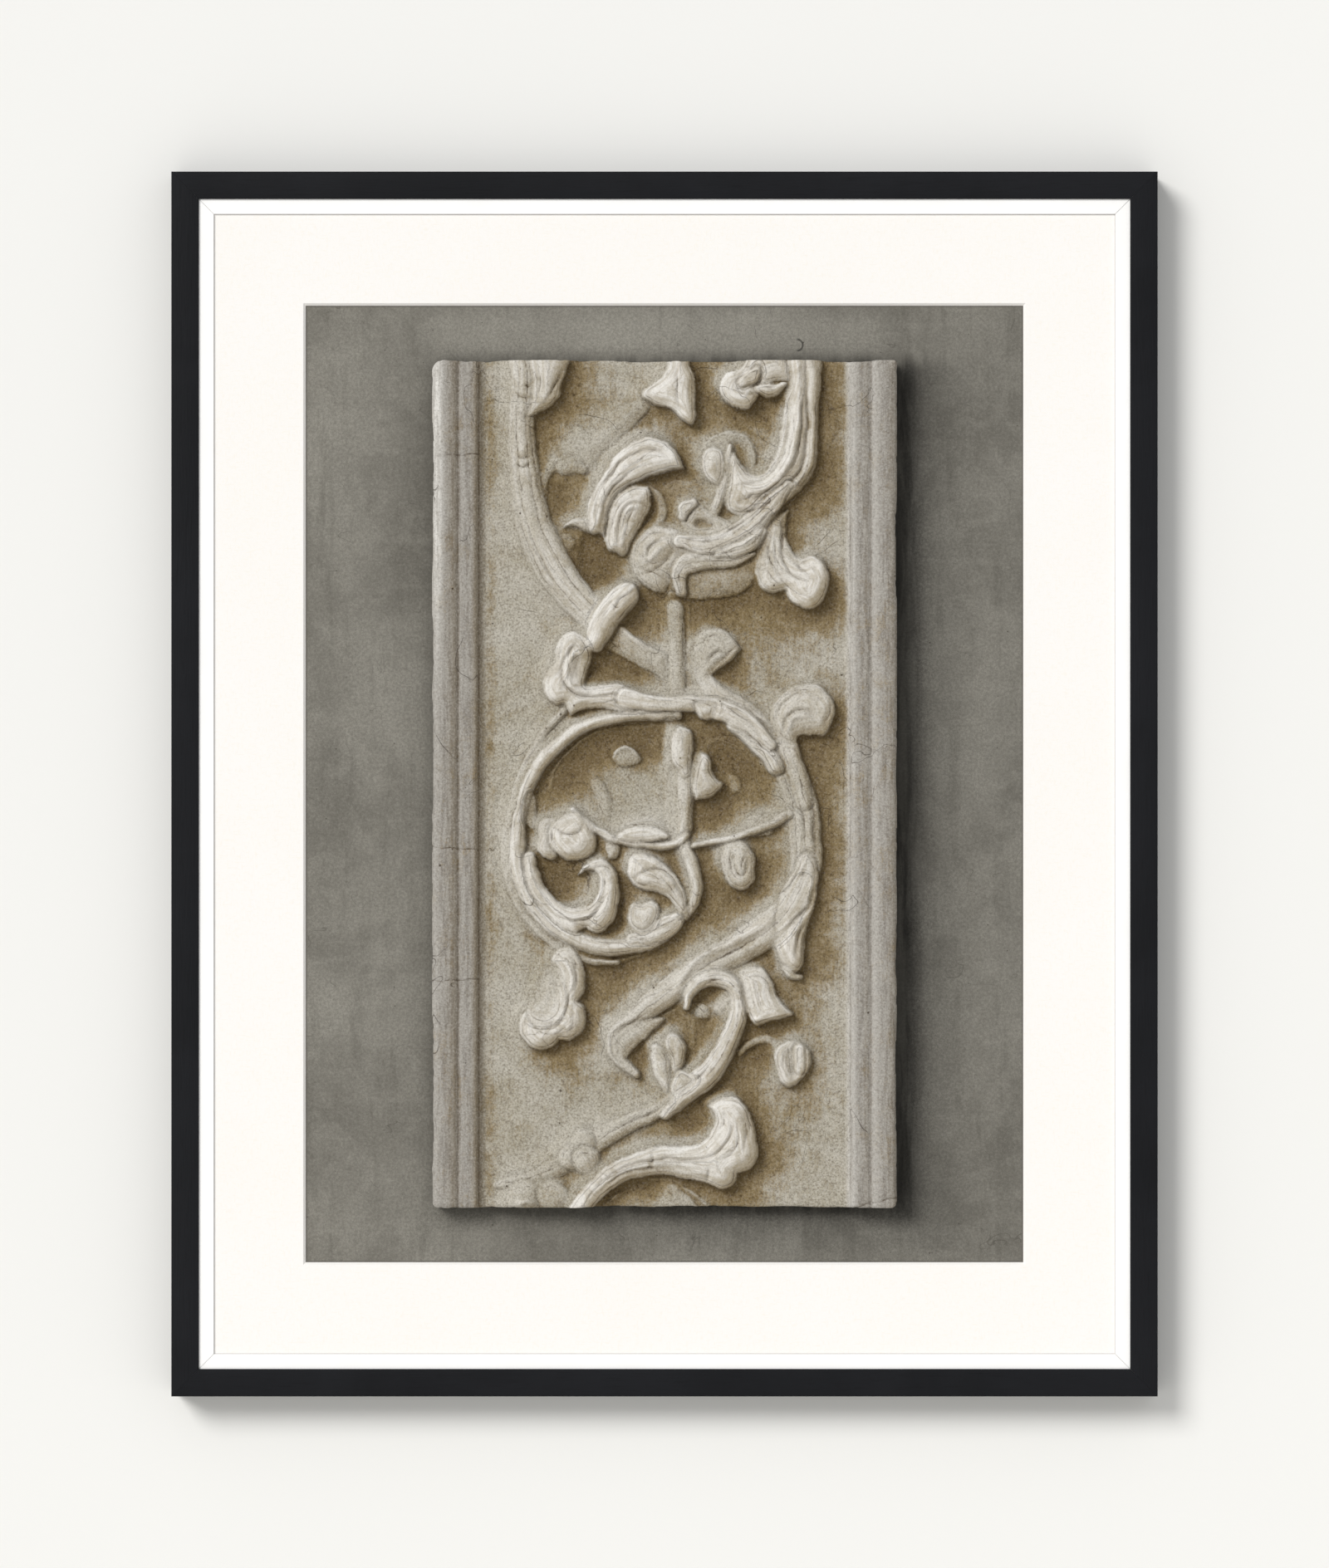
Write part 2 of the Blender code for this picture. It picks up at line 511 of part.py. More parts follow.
def crossing_branches(clay):
    clay.form([(-31, 101), (-20, 94), (-8, 86), (4, 79), (4, 64), (-6, 70), (-20, 77), (-33, 85),
              (-41, 90)], 2.4, 1.8, (0.02, 0.05))
    clay.rib([(-27, 98), (-14, 89), (0, 81)], 2.8, 1.8)
    clay.stem([(7.5, 112), (7.5, 90), (8, 62)], [4.8, 4.8, 4.8], 2.2, 1.4, 1)
    clay.rib([(15.5, 116), (15.5, 90), (15, 64), (20, 55)], 1.3, 1.4)
    clay.stem([(-44, 89), (-39, 102), (-32, 112), (-25, 119)], [6, 8.5, 9.5, 8.5], 6.0, 4.2, 1)
    clay.groove([(-41, 110), (-34, 117), (-31, 125)], 1.0, 1.2)
    clay.groove([(-32, 110), (-28, 117), (-20, 122)], 1.1, 1.8)
    clay.groove([(-46, 98), (-42, 107), (-36, 112)], 1.0, 1.2)


def curled_leaf_by_post(clay):
    clay.stem([(70, 28), (54, 42), (38, 53), (28, 62), (23, 72)], [5.5, 7.5, 7.5, 6, 4.5], 3.2, 2.6, 1)
    clay.form([(22, 66), (20, 76), (19, 87), (21, 94), (26, 98), (33, 99), (40, 96), (45, 91),
              (48, 86), (48, 86), (43, 80), (37, 75), (30, 69), (26, 65)], 3.4, 1.8, (0.03, 0))
    clay.rib([(46, 85), (40, 79), (32, 71)], 1.8, 1.4)
    clay.groove([(28, 75), (29, 80), (34, 84), (38, 83)], 1.4, 1.8)
    clay.rib([(27, 72), (30, 79), (36, 82)], 1.3, 1.2)


def medallion_rings(clay):
    clay.stem([(-69, 50), (-81, 37), (-93, 18), (-101, -4), (-105, -28), (-104, -52)], [2.2], 0.5, 0.9,
              1)
    clay.stem([(-63, 47), (-74, 35.5), (-85, 18), (-94, -1), (-99.5, -22), (-101, -45), (-98.5, -62),
              (-91, -79), (-80, -93), (-64, -105), (-48, -112), (-30, -114)], [2.2, 2.4, 2.4, 2.4, 2.4,
              2.3, 2.3, 2.3, 2.3, 2.2, 2, 1.5], 2.4, 1.3, 1)
    clay.rib([(-73, -3), (-68, 12), (-58, 23), (-46, 32), (-32, 36), (-20, 37)], 1.3, 2.0)
    clay.stem([(8, 43.5), (-12, 43.5), (-34, 41.5), (-52, 36), (-68, 24.5), (-81, 9), (-89.5, -10),
              (-93.5, -32), (-92.5, -54), (-86, -72), (-75, -86), (-60, -97), (-44, -103), (-28, -104),
              (-12, -101), (2, -94), (12, -85)], [3, 3, 3.2, 3.5, 3.8, 4, 4, 4.2, 4.8, 5.4, 5.4, 5.4,
              5.2, 5, 5, 4.5, 2], 4.2, 2.8, 1)
    clay.groove([(-62, 41), (-76, 27.5), (-87, 10), (-95, -12), (-97.8, -34), (-97.5, -54), (-92, -72),
                (-81, -88), (-66, -100)], 0.9, 1.0)
    clay.rib([(-46, -111), (-30, -113), (-14, -109), (-3, -102)], 1.6, 2.0)
    clay.leaf([(-20, -98), (-8, -95), (4, -90), (12, -83)], [3, 5.5, 6, 3], 5.0, 2.2, 3)
    clay.stem([(46, 41), (60, 32), (73, 16), (83, -1), (88, -20), (90, -40), (89, -58), (84, -74)], [4,
              6.5, 8.5, 9.5, 10, 10, 10, 8], 3.2, 2.6, 4)
    clay.stem([(42, 37), (56, 27), (66, 18), (70, 11)], [3, 4, 5, 5.5], 5.4, 2.6, 1)


def medallion_right_leaf(clay):
    clay.stem([(89, -12), (84, 6), (80, 18), (77, 32)], [5, 6, 6, 6], 4.2, 2.6, 2)
    clay.form([(82, 25), (75, 27), (70, 34), (67, 43), (69, 51), (75, 57), (82, 61), (91, 63),
              (99, 62), (104, 57), (108, 49), (107, 41), (103, 34), (100, 31), (100, 31), (92, 31),
              (85, 30)], 4.6, 2.4, (0.03, -0.02), 5)
    clay.groove([(75, 33), (78, 42), (84, 46), (90, 46), (95, 43)], 1.5, 1.9)
    clay.rib([(78, 33), (82, 41), (88, 43), (93, 40)], 1.5, 1.3)
    clay.groove([(70, 36), (72, 46), (80, 54), (92, 57), (100, 52)], 1.5, 1.2)


def garland(clay):
    clay.form([(-48, 88), (-52, 93), (-59, 96), (-65, 93), (-69, 86), (-70, 77), (-75, 71), (-75, 71),
              (-77, 64), (-75, 55), (-69, 50), (-63, 51), (-59, 44), (-59, 44), (-50, 48), (-38, 49),
              (-28, 46), (-17, 47), (-16, 56), (-23, 61), (-32, 64), (-44, 63), (-51, 62), (-49, 72),
              (-46, 80)], 5.6, 2.8, (0, -0.015), 5)
    clay.groove([(-50, 86), (-58, 85), (-63, 79), (-65, 70), (-62, 61), (-55, 56), (-44, 56),
                (-32, 57), (-26, 54), (-21, 49)], 1.5, 2.0)
    clay.rib([(-48, 82), (-57, 82), (-61, 76), (-62, 68), (-58, 60), (-50, 58)], 1.5, 1.2)
    clay.hollow([(-55, 78), (-56, 68)], [3.5], 1.2)
    clay.leaf([(-24, 54), (-10, 51.5), (6, 51), (20, 50), (34, 47), (48, 41), (60, 32), (68, 25)], [6,
              4.6, 4.2, 4.8, 6.4, 6.6, 5, 3], 5.8, 2.8, 1)
    clay.form([(20, 51), (21, 44), (25, 41), (30, 43), (31, 51)], 5.8, 2.4)
    clay.groove([(31, 55), (42, 47), (52, 40), (60, 31)], 1.1, 1.5)


def sheath_leaf(clay):
    clay.form([(92, -44), (86, -47), (82, -56), (76, -65), (71, -76), (68, -90), (69, -102),
              (73, -112), (78, -119), (83, -120), (87, -116), (88, -104), (90, -92), (94, -80), (97,
              -68), (97, -54)], 5.4, 2.8, (0, -0.01), 5)
    clay.groove([(90, -52), (87, -62), (80, -74), (74, -86), (71, -100)], 1.6, 2.2)
    clay.groove([(86, -50), (81, -62), (76, -68)], 1.2, 1.6)
    clay.groove([(95, -68), (91, -78), (83, -86), (76, -94), (73, -104)], 1.7, 2.4)
    clay.groove([(90, -88), (84, -97), (82, -110)], 1.2, 1.6)
    clay.groove([(93, -84), (88, -98), (87, -112)], 1.1, 1.4)
    clay.stem([(76, -118), (81, -122), (86, -123)], [1.5, 2.2, 1.2], 3.0, 1.6, 1)


def medallion_inside(clay):
    clay.stem([(4, 38), (4, 4), (5, -34)], [4.2, 4.2, 4.0], 1.6, 1.2, 1)
    clay.form([(-46, 2), (-42, 4), (-38, 1), (-35, -8), (-34, -18), (-37, -24), (-41, -20), (-42, -10),
              (-46, -4)], 1.6, 1.4, (0, 0), 5)
    clay.groove([(-42, -8), (-41, -15), (-37, -22)], 0.9, 0.9)
    clay.form([(-33, 17), (-30, 22), (-25, 24), (-19, 21), (-15, 15), (-20, 12), (-28, 12)], 1.8, 0.8)
    clay.rib([(-33, 18), (-30, 22), (-25, 23.5), (-20, 21), (-17, 16)], 1.5, 2.0)
    clay.rib([(22, 22), (28, 27), (37, 28), (47, 23), (57, 12)], 1.5, 1.8)
    clay.form([(40, 5), (47, 3), (48, -4), (42, -5)], 1.0, 1.0)
    clay.stem([(13.5, 12), (13, -14), (12, -40)], [4.6, 4.4, 4.2], 3.8, 2.2, 1)
    clay.form([(9, 36), (15, 35), (18, 30), (17, 14), (17, 6), (12, 4), (10, 9), (10, 9), (6, 12),
              (4, 20), (5, 30)], 5.2, 2.2)
    clay.stem([(12, -38), (17, -50), (20, -62), (19, -74), (14, -85)], [4.2, 4.2, 3.8, 3.4, 1.5], 3.8,
              2.2, 1)
    clay.form([(23, 19), (20, 8), (18, -2), (19, -10), (19, -10), (26, -9), (32, -6), (37, 0), (37, 0),
              (33, 2), (30, 8), (29, 15)], 5.6, 2.4, (-0.03, -0.03))
    clay.form([(49, -30), (52, -23), (59, -19), (65, -23), (69, -30), (60, -33)], 2.4, 1.6)
    clay.form([(38, -38), (36, -48), (38, -58), (43, -65), (50, -67), (56, -63), (57, -54), (56, -44),
              (50, -36)], 4.4, 3.0, (0.02, -0.03), 5)
    clay.groove([(44, -45), (46, -56), (51, -57), (53, -46)], 1.3, 1.5)
    clay.groove([(43, -40), (41, -50), (43, -60)], 1.0, 0.9)
    clay.stem([(19, -39), (34, -36), (50, -32), (64, -27), (79, -19)], [1.4, 1.8, 2, 2.4, 2.6], 4.2,
              1.8, 1)
    clay.form([(-21, -45), (-14, -44), (-6, -47), (3, -54), (9, -62), (13, -72), (15, -85), (15, -85),
              (8, -79), (1, -72), (-8, -68), (-16, -66), (-23, -60), (-23, -52)], 5.2, 2.6, (0, 0.02))
    clay.groove([(-20, -60), (-12, -55), (-3, -54), (5, -60), (11, -72)], 1.3, 1.8)
    clay.groove([(-20, -62), (-14, -64), (-9, -63)], 1.0, 1.2)
    clay.form([(-21, -76), (-15, -77), (-9, -75), (-4, -79), (-5, -87), (-9, -92), (-15, -94),
              (-21, -90), (-23, -83)], 4.6, 2.4, (0.03, -0.03))
    clay.form([(-38, -36), (-32, -35), (-29, -41), (-31, -46), (-37, -46)], 3.4, 1.8)
    clay.stem([(-58, -16), (-49, -25), (-40, -31), (-28, -36), (-10, -39), (6, -38), (14, -33)], [1.6,
              2.2, 2.4, 2.0, 2.0, 2.2, 2], 4.4, 2.0, 1)
    clay.rib([(-33, -32), (-22, -25), (-8, -23.5), (4, -29), (9, -35)], 1.4, 2.2)
    clay.form([(-31, -33), (-24, -28.5), (-14, -27), (-4, -28.5), (3, -33), (-6, -36), (-18, -37),
              (-27, -35.5)], 5.6, 2.4)
    clay.form([(-80, -26), (-74, -22), (-68, -24), (-70, -35), (-68, -44), (-72, -48), (-78, -46),
              (-82, -40), (-80, -33)], 4.0, 2.4, (0, -0.03))
    clay.form([(-71, -27), (-63, -20), (-54, -19), (-47, -27), (-44, -35), (-46, -43), (-53, -48),
              (-61, -48), (-67, -44), (-67, -44), (-72, -37)], 5.2, 2.8, (0, -0.03))
    clay.groove([(-69, -27), (-62, -31), (-54, -30), (-52, -26)], 1.3, 1.8)
    clay.groove([(-71, -24), (-70, -33), (-67, -42)], 1.0, 1.0)
    clay.form([(-86, -6), (-82, -10), (-82, -26), (-87, -27), (-89, -18)], 2.4, 1.6)
    clay.form([(-89, -46), (-87, -62), (-81, -74), (-72, -84), (-62, -92), (-55, -94), (-50, -91),
              (-50, -91), (-44, -94), (-37, -92), (-31, -84), (-29, -72), (-30, -60), (-34, -51), (-41,
              -47), (-49, -50), (-54, -57), (-54, -57), (-48, -55), (-42, -57), (-40, -65), (-44, -74),
              (-52, -78), (-62, -78), (-72, -70), (-80, -56), (-84, -44)], 5.6, 2.8, (0.01, -0.02), 4)
    clay.rib([(-38, -60), (-40, -70), (-46, -80), (-56, -85), (-66, -82)], 1.4, 1.2)
    clay.groove([(-37, -58), (-37, -70), (-43, -81), (-55, -87), (-68, -83), (-78, -72)], 1.2, 1.5)
    clay.groove([(-33, -56), (-37, -52), (-44, -53)], 1.2, 1.4)


def lower_left_leaf(clay):
    clay.form([(-72, -112), (-66, -104), (-58, -105), (-53, -112), (-50, -122), (-51, -132),
              (-55, -138), (-55, -138), (-51, -142), (-50, -150), (-53, -157), (-60, -162), (-67,
              -162), (-67, -162), (-72, -167), (-80, -169), (-87, -165), (-92, -157), (-90, -147),
              (-84, -138), (-84, -138), (-76, -140), (-70, -136), (-66, -124), (-70, -116)], 4.8, 3.0,
              (0.02, -0.03), 5)
    clay.form([(-76, -118), (-70, -120), (-65, -132), (-66, -144), (-72, -151), (-80, -152),
              (-86, -148), (-86, -140), (-80, -132)], 2.6, 2.0, (0.02, -0.02), 6)
    clay.groove([(-87, -149), (-79, -155), (-70, -153), (-63, -145), (-61, -134), (-65, -122),
                (-71, -113)], 1.4, 2.0)
    clay.rib([(-84, -146), (-78, -150), (-70, -149), (-66, -142), (-65, -132)], 1.4, 1.0)
    clay.groove([(-57, -114), (-55, -126), (-59, -138)], 1.2, 1.0)
    clay.groove([(-58, -144), (-60, -154), (-68, -159)], 1.2, 1.0)


def lower_branch(clay):
    clay.stem([(88, -62), (78, -80), (64, -94), (48, -104), (32, -113), (14, -124), (-4, -137),
              (-20, -149), (-31, -159), (-33, -168), (-28, -176), (-18, -184)], [4, 8, 10, 10.5, 10,
              9.5, 9, 8, 6.5, 5, 4, 2], 2.8, 3.0, 2, 0.3)
    clay.rib([(66, -88), (44, -100), (26, -108), (14, -118), (8, -130)], 3.0, 1.6)
    clay.rib([(-8, -150), (2, -146), (12, -140)], 1.5, 1.2)
    clay.form([(-34, -160), (-27, -154), (-16, -150), (0, -149), (-4, -154), (-10, -160), (-18, -167),
              (-24, -176), (-19, -183), (-27, -179), (-33, -171)], 3.0, 1.6, (0.03, 0.01), 6)


def loop(clay):
    clay.form([(42, -130), (47, -134), (45, -142), (40, -147), (34, -147.5), (31, -143), (35, -136)],
              2.4, 2.2)
    clay.groove([(44, -131), (41, -139), (38, -146)], 1.1, 1.6)
    clay.form([(19, -142), (23, -139.5), (28, -142), (29, -147), (24, -149), (19, -147)], 1.2, 1.4)
    clay.stem([(0, -209), (14, -196), (28, -184), (38, -170), (45, -155), (48, -140), (44, -129),
              (35, -124), (25, -125), (17, -132), (14, -142)], [4, 7, 8, 7.5, 6.5, 5.5, 5, 4.6, 4.4,
              3.6, 1.6], [4.0, 5.2, 5.2, 5.2, 4.4], 3.4, 2, 0.35)
    clay.groove([(-1, -205), (8, -199), (20, -188), (30, -180)], 1.2, 1.4)
    clay.form([(-8, -167), (-4, -166), (0, -170), (4, -176), (5, -186), (4, -197), (1, -200), (-2, -192),
              (-7, -184), (-9, -175)], 4.4, 2.4, (0, 0), 5)
    clay.form([(2, -160), (5, -158.5), (9, -159.5), (12, -163), (14, -169), (13, -176), (11, -181),
              (8, -186), (5, -182), (4, -174), (1, -168)], 5.0, 2.4, (0, 0), 5)
    clay.form([(10, -182), (15, -184), (20, -188), (14, -193), (7, -198), (4, -199), (5, -190)], 5.2,
              1.6)
    clay.groove([(0, -170), (4, -179), (4, -190), (2, -198)], 1.0, 1.5)
    clay.groove([(2, -170), (5, -173), (7, -177)], 0.8, 1.0)
    clay.groove([(12, -182), (18, -176), (19, -168)], 0.8, 0.8)


def bell_leaf_and_bud(clay):
    clay.form([(47, -119), (56, -116), (64, -118), (69, -125), (71, -134), (75, -141), (81, -147),
              (81, -147), (74, -149), (66, -150), (58, -153), (54, -148), (51, -138), (49, -128)], 4.8,
              3.2, (0.02, -0.05), 5)
    clay.rib([(55, -149), (64, -149), (72, -147), (80, -147)], 2.6, 1.8)
    clay.groove([(58, -126), (60, -136), (62, -144)], 1.4, 0.9)
    clay.stem([(48, -171), (56, -164), (66, -162), (75, -167)], [1.6, 2.0, 2.4, 3.0], 1.4, 1.6, 1)
    clay.form([(84, -162), (92, -168), (93, -178), (89, -185), (83, -191), (79, -193), (79, -193),
              (73, -188), (70, -178), (71, -169), (76, -164)], 4.6, 3.2, (0.0, -0.03), 4)
    clay.hollow([(80, -171), (81, -183)], [6, 5], 2.6)
    clay.leaf([(86, -168), (86, -180)], [3.5, 3], 5.6, 1.4, 1)


def bottom_stem(clay):
    clay.stem([(-106, -254), (-84, -250), (-66, -242), (-46, -229), (-26, -217), (-8, -209),
              (2, -200)], [2.5, 4, 5.5, 6.5, 6.5, 5.5, 3], [1.0, 1.2, 2.0], 2.2, 2, 0.4)
    clay.groove([(-1, -200), (-8, -208), (-19, -214)], 1.2, 1.6)
    clay.boss(-51, -227, 7.6, 2.2, 2.4)
    clay.boss(-59, -237.5, 7.4, 2.6, 2.4)
    clay.boss(-50, -239, 8.4, 3.0, 2.6)
    clay.rib([(-58, -237), (-53, -235), (-49, -240)], 1.1, 1.2)
    clay.rib([(-48, -231), (-44, -233), (-42, -236)], 1.1, 1.0)
    clay.boss(-88, -263, 11, 2.2, 2.8)
    clay.boss(-71, -262, 10, 2.2, 2.6)
    clay.rib([(-94, -267), (-88, -264), (-81, -267)], 1.6, 2.2)


def bottom_leaf(clay):
    clay.rib([(-42, -272), (-30, -261), (-16, -258), (-6, -261), (2, -268)], 1.5, 1.6)
    clay.rib([(-14, -251), (4, -252), (18, -260), (28, -270)], 2.0, 2.0)
    clay.form([(-2, -262), (4, -254), (12, -258), (18, -266), (18, -274), (-2, -274)], 1.6, 1.4)
    clay.form([(-62, -276), (-56, -262), (-46, -250), (-34, -241), (-20, -235), (-5, -231), (10, -230),
              (22, -228), (30, -220), (32, -212), (28, -205), (28, -205), (34, -200), (42, -199), (50,
              -203), (56, -213), (59, -226), (59, -237), (55, -243), (46, -247), (46, -247), (44,
              -253), (38, -257), (31, -255), (24, -252), (10, -250), (-6, -248), (-20, -250), (-32,
              -256), (-42, -264), (-48, -276)], 6.4, 3.2, (0, 0), 5)
    clay.groove([(-50, -262), (-36, -249), (-20, -241), (-4, -239), (14, -238), (30, -235), (40, -227),
                (43, -217), (38, -209)], 1.5, 2.0)
    clay.groove([(-44, -260), (-30, -249), (-16, -244), (0, -244), (16, -244)], 1.1, 1.2)
    clay.groove([(33, -222), (38, -215), (36, -209)], 1.1, 1.2)
    clay.groove([(52, -206), (54, -216), (53, -224)], 1.1, 1.0)
    clay.groove([(28, -244), (27, -252)], 1.1, 1.8)
    clay.groove([(-7, -233), (-9, -243)], 0.9, 1.3)
    clay.rib([(30, -200), (40, -197), (50, -201)], 1.4, 1.0)


carved_groups = [
    low_forms, left_vine, top_fragments, right_arc, upper_nest, hanging_right_leaf, crossing_branches,
    curled_leaf_by_post, medallion_rings, medallion_right_leaf, garland, sheath_leaf, medallion_inside,
    lower_left_leaf, lower_branch, loop, bell_leaf_and_bud, bottom_stem, bottom_leaf]


def moulding_height(from_side):
    def rounded(start, end, rise, flatness):
        u = np.clip(np.abs(from_side - (start + end) / 2) / ((end - start) / 2), 0, 1)
        return groove_rise + (rise - groove_rise) * (1 - u ** flatness) ** 0.5

    band_end = roll_width + band_width
    roll = rounded(-worn_edge, roll_width, roll_rise, roll_roundness)
    band = rounded(roll_width, band_end, band_rise, band_roundness)
    slope = groove_rise * np.clip((moulding_width - from_side) / slope_width, 0, 1) ** slope_power
    return np.where(from_side < roll_width, roll, np.where(from_side < band_end, band, slope))


def panel_surface():
    # Even grid of places on the panel, and the height of its face above its back
    columns = round(panel_width / grid_pitch) + 1
    rows = round(panel_height / grid_pitch) + 1
    across = np.linspace(-0.5, 0.5, columns)
    up = np.linspace(-0.5, 0.5, rows)
    drawn_x, drawn_z = np.meshgrid(across * drawn_width, up * drawn_height)
    waves = wave_rise * np.sin(0.07 * drawn_x + 1.3) * np.sin(0.05 * drawn_z + 0.4)
    clay = Carving(across * drawn_width, up * drawn_height, waves)
    for group in carved_groups:
        group(clay)

    x, z = np.meshgrid(across * panel_width, up * panel_height)
    from_side = panel_width / 2 - np.abs(x)
    from_end = panel_height / 2 - np.abs(z)
    carved = clay.height / drawn_rise * carving_rise
    moulded = moulding_height(from_side)
    inside_band = from_side > roll_width + band_width
    face = np.where(inside_band, np.maximum(moulded, carved), moulded)
    face = np.where(from_side > moulding_width, carved, face)
    worn = worn_edge * np.exp(-np.minimum(from_side, from_end) / worn_edge)
    return x, z, ground_thickness + face - worn


def relief_panel(collection, parent):
    x, z, height = panel_surface()
    rows, columns = x.shape
    work = bmesh.new()
    bmesh.ops.create_grid(work, x_segments=columns - 1, y_segments=rows - 1, size=0.5)
    for vertex in work.verts:
        column = round((vertex.co.x + 0.5) * (columns - 1))
        row = round((vertex.co.y + 0.5) * (rows - 1))
        vertex.co = (x[row, column], panel_back - height[row, column], z[row, column])
    rim = [edge for edge in work.edges if edge.is_boundary]
    walls = bmesh.ops.extrude_edge_only(work, edges=rim)["geom"]
    for element in walls:
        if isinstance(element, bmesh.types.BMVert):
            element.co.y = panel_back
    bmesh.ops.contextual_create(work, geom=[edge for edge in work.edges if edge.is_boundary])
    bmesh.ops.triangulate(work, faces=work.faces)
    fine_triangles = len(work.faces)
    finish = material("old_plaster", (0.52, 0.48, 0.40), 0.8)
    panel = add_object("relief_panel", mesh_from(work, "relief_panel"), finish, collection, parent)
    fewer = panel.modifiers.new("fewer_triangles", "DECIMATE")
    fewer.ratio = panel_triangles / fine_triangles


def build():
    clear_scene()
    collection = new_collection("framed_relief")
    cutters = new_collection("cutters")
    middle = bpy.data.objects.new("framed_relief", None)
    collection.objects.link(middle)
    middle.location = (0.0, 0.0, -hang_drop)

    black = material("black_paint", (0.018, 0.019, 0.021), 0.45)
    white = material("white_paint", (0.95, 0.95, 0.94), 0.6)
    mitred_ring("frame_rail_", rail_outline(), frame_width, frame_height, black, collection, middle)
    mitred_ring("slip_strip_", strip_outline(), sheet_width, sheet_height, white, collection, middle)
    cream_mat(collection, cutters, middle)
    grey_mount_board(collection, middle)
    relief_panel(collection, middle)
    bpy.context.view_layer.update()


build()
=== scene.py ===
import math

import bmesh
import bpy
import numpy as np
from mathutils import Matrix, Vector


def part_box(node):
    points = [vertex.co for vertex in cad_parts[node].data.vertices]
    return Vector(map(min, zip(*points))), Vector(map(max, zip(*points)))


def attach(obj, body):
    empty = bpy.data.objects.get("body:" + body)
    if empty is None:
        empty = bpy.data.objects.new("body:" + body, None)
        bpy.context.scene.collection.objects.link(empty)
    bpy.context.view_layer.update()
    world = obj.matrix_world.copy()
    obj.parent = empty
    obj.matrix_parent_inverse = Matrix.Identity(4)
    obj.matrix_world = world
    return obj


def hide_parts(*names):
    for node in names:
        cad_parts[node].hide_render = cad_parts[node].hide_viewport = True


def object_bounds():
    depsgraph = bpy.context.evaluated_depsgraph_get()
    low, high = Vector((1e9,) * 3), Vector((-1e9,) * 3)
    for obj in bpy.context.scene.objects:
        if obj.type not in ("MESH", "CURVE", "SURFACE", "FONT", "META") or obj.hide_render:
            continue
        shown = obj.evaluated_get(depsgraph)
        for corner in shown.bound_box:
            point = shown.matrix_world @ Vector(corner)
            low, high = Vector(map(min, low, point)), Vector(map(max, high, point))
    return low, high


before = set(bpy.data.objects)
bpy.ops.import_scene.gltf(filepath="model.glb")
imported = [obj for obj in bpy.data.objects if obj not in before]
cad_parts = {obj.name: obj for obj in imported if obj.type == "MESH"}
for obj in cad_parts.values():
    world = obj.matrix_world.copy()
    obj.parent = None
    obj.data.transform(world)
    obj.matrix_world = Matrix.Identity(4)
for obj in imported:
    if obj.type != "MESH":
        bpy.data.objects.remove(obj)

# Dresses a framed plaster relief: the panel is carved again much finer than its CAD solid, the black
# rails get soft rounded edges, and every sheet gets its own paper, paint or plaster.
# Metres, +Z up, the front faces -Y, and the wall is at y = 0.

cadBox = [list(corner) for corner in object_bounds()]
frameLow, frameHigh = (np.array(corner) for corner in cadBox)
middle = (frameLow + frameHigh) / 2
print("frame loaded:", len(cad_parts), "nodes, box", np.round(frameHigh - frameLow, 4).tolist())


# Camera, light, wall and floor

studio = {
    "cameraDistance": 4.0,        # m from the frame's face
    "shownHeight": 0.9982,        # m at the frame's face, from the picture's lower edge to its upper edge
    "windowFrom": (-0.69, -1.0, 0.63),    # the way from the frame to the lamp
    "backFrom": (0.55, 1.0, 0.35),    # lights the back and the shaded sides
    "lightAngle": 24.0,           # degrees; a wide lamp gives soft shadows
    "windowStrength": 2.1,
    "backStrength": 0.9,
    "lampColour": (1.0, 0.985, 0.96),
    "skyColour": (0.965, 0.98, 1.0),
    "skyStrength": 0.50,
    "wallTone": (240, 240, 238),
    "floorTone": (236, 234, 229),
    "floorDrop": 0.75,            # m from the frame's lower edge to the floor
}


def screenColour(tone):
    # Screen colour of 0 to 255 as linear light: ((s + 0.055) / 1.055) ** 2.4
    share = np.array(tone) / 255
    light = np.where(share <= 0.04045, share / 12.92, ((share + 0.055) / 1.055) ** 2.4)
    return (*light.tolist(), 1.0)


def placeCamera():
    lens = bpy.data.cameras.new("camera")
    lens.sensor_width = 36.0
    lens.lens = lens.sensor_width * studio["cameraDistance"] / studio["shownHeight"]
    camera = bpy.data.objects.new("camera", lens)
    bpy.context.collection.objects.link(camera)
    camera.location = (middle[0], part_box("frame_rail_top")[0][1] - studio["cameraDistance"], middle[2])
    camera.rotation_euler = (math.pi / 2, 0.0, 0.0)
    bpy.context.scene.camera = camera


def placeLight():
    for name in ("window", "back"):
        lamp = bpy.data.lights.new(name + "_light", "SUN")
        lamp.energy = studio[name + "Strength"]
        lamp.angle = math.radians(studio["lightAngle"])
        lamp.color = studio["lampColour"]
        light = bpy.data.objects.new(name + "_light", lamp)
        bpy.context.collection.objects.link(light)
        x, y, z = studio[name + "From"]
        light.rotation_euler = (math.acos(z / math.hypot(x, y, z)), 0.0, math.atan2(x, -y))
    sky = bpy.data.worlds.new("studio_sky")
    bpy.context.scene.world = sky
    sky.use_nodes = True
    background = sky.node_tree.nodes["Background"]
    background.inputs["Color"].default_value = (*studio["skyColour"], 1.0)
    background.inputs["Strength"].default_value = studio["skyStrength"]


